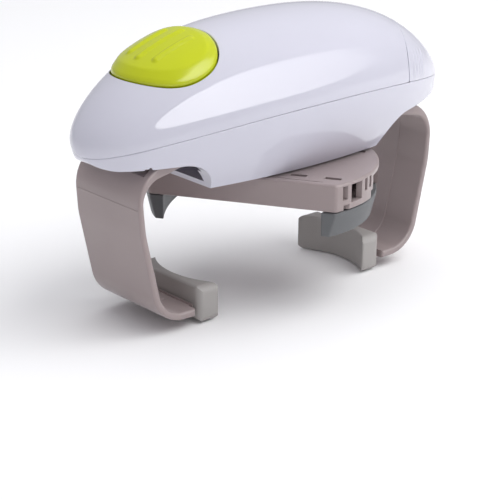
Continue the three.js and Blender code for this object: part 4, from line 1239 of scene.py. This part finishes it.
def arm_plastic():
    graph = moulded("taupe_plastic", (0.35, 0.285, 0.28), 0.025, (0.32, 0.42), 1400, 0.16)
    set_inputs(graph.shader, {"Sheen Weight": 0.35, "Sheen Roughness": 0.35})
    return graph.material


def pad_rubber():
    return moulded("grey_rubber", (0.39, 0.37, 0.355), 0.03, (0.50, 0.62), 1800, 0.22).material


# Painted shade: the jaws' rubber is the pads' grip rubber painted much darker, a shaded copy of one
# material standing in for the shade the jaws sit in.
def jaw_rubber_painted_shade():
    return moulded("grip_rubber_painted_shade", (0.13, 0.135, 0.14), 0.03, (0.45, 0.58), 1800, 0.22).material


def plain_plastic(name, colour, roughness=(0.40, 0.55)):
    return moulded(name, colour, 0.03, roughness, 1200, 0.12, 60).material


def metal(name, colour, roughness, stretch=(1, 1, 14)):
    if name in made:
        return made[name].material
    graph = Graph(name)
    set_inputs(graph.shader, {"Metallic": 1.0})
    streak = graph.noise(500, 5, 0.6, stretch)
    graph.feed("Base Color", graph.ramp(streak, [(0.3, tint(colour, 0.92)), (0.7, tint(colour, 1.05))]))
    graph.feed("Roughness", graph.span(streak, *roughness))
    graph.bump(streak, 0.06, 0.0001)
    made[name] = graph
    return graph.material


def plain_steel():
    return metal("plain_steel", (0.62, 0.63, 0.65), (0.22, 0.36))


def inner_materials():
    """The looks of the CAD nodes that stay as they are, by material slot."""
    return {
        "steel": plain_steel(),
        "brass": metal("turned_brass", (0.72, 0.52, 0.22), (0.20, 0.32)),
        "gear_nylon": plain_plastic("nylon", (0.80, 0.78, 0.70)),
        "black_plastic": plain_plastic("black_moulding", (0.025, 0.025, 0.028)),
        "board_green": plain_plastic("board_laminate", (0.03, 0.16, 0.07)),
        "cell_jacket": plain_plastic("cell_sleeve", (0.06, 0.10, 0.22), (0.25, 0.35)),
        "lead_red": plain_plastic("red_insulation", (0.42, 0.02, 0.015)),
        "lead_black": plain_plastic("black_insulation", (0.02, 0.02, 0.02)),
        "lead_blue": plain_plastic("blue_insulation", (0.02, 0.07, 0.32)),
        "button_green": button_plastic(),
        "arm_taupe": arm_plastic(),
        "grip_rubber": pad_rubber(),
        "shell_white": shell_plastic(),
    }


def dress_nodes():
    looks = inner_materials()
    slots = {part["node"]: part["material_slot"] for part in frame["record"]["subparts"]}
    for name, node in frame["nodes"].items():
        look = looks[slots[name]]
        if not node.material_slots:
            node.data.materials.append(look)
        for slot in node.material_slots:
            slot.link = "OBJECT"
            slot.material = look


# ---- assembly

add_camera()
add_studio()
add_floor()
dress_nodes()
upper_housing()
battery_cover()
start_button()
press_coil()
lower_housing()
arm("rear_strap", "rear_grip", "rear_arm", 0.0)
arm("front_strap", "front_grip", "front_arm", math.pi)
arm_pad("rear_shoe", "rear_grip", "rear_arm_pad", 0.0)
arm_pad("front_shoe", "front_grip", "front_arm_pad", math.pi)
bar_shell()
bar_cover()
jaw_pad("jaw_shoe_a", "lid_grip_a", "lid_jaw_pad_a", 0.0)
jaw_pad("jaw_shoe_b", "lid_grip_b", "lid_jaw_pad_b", math.pi)
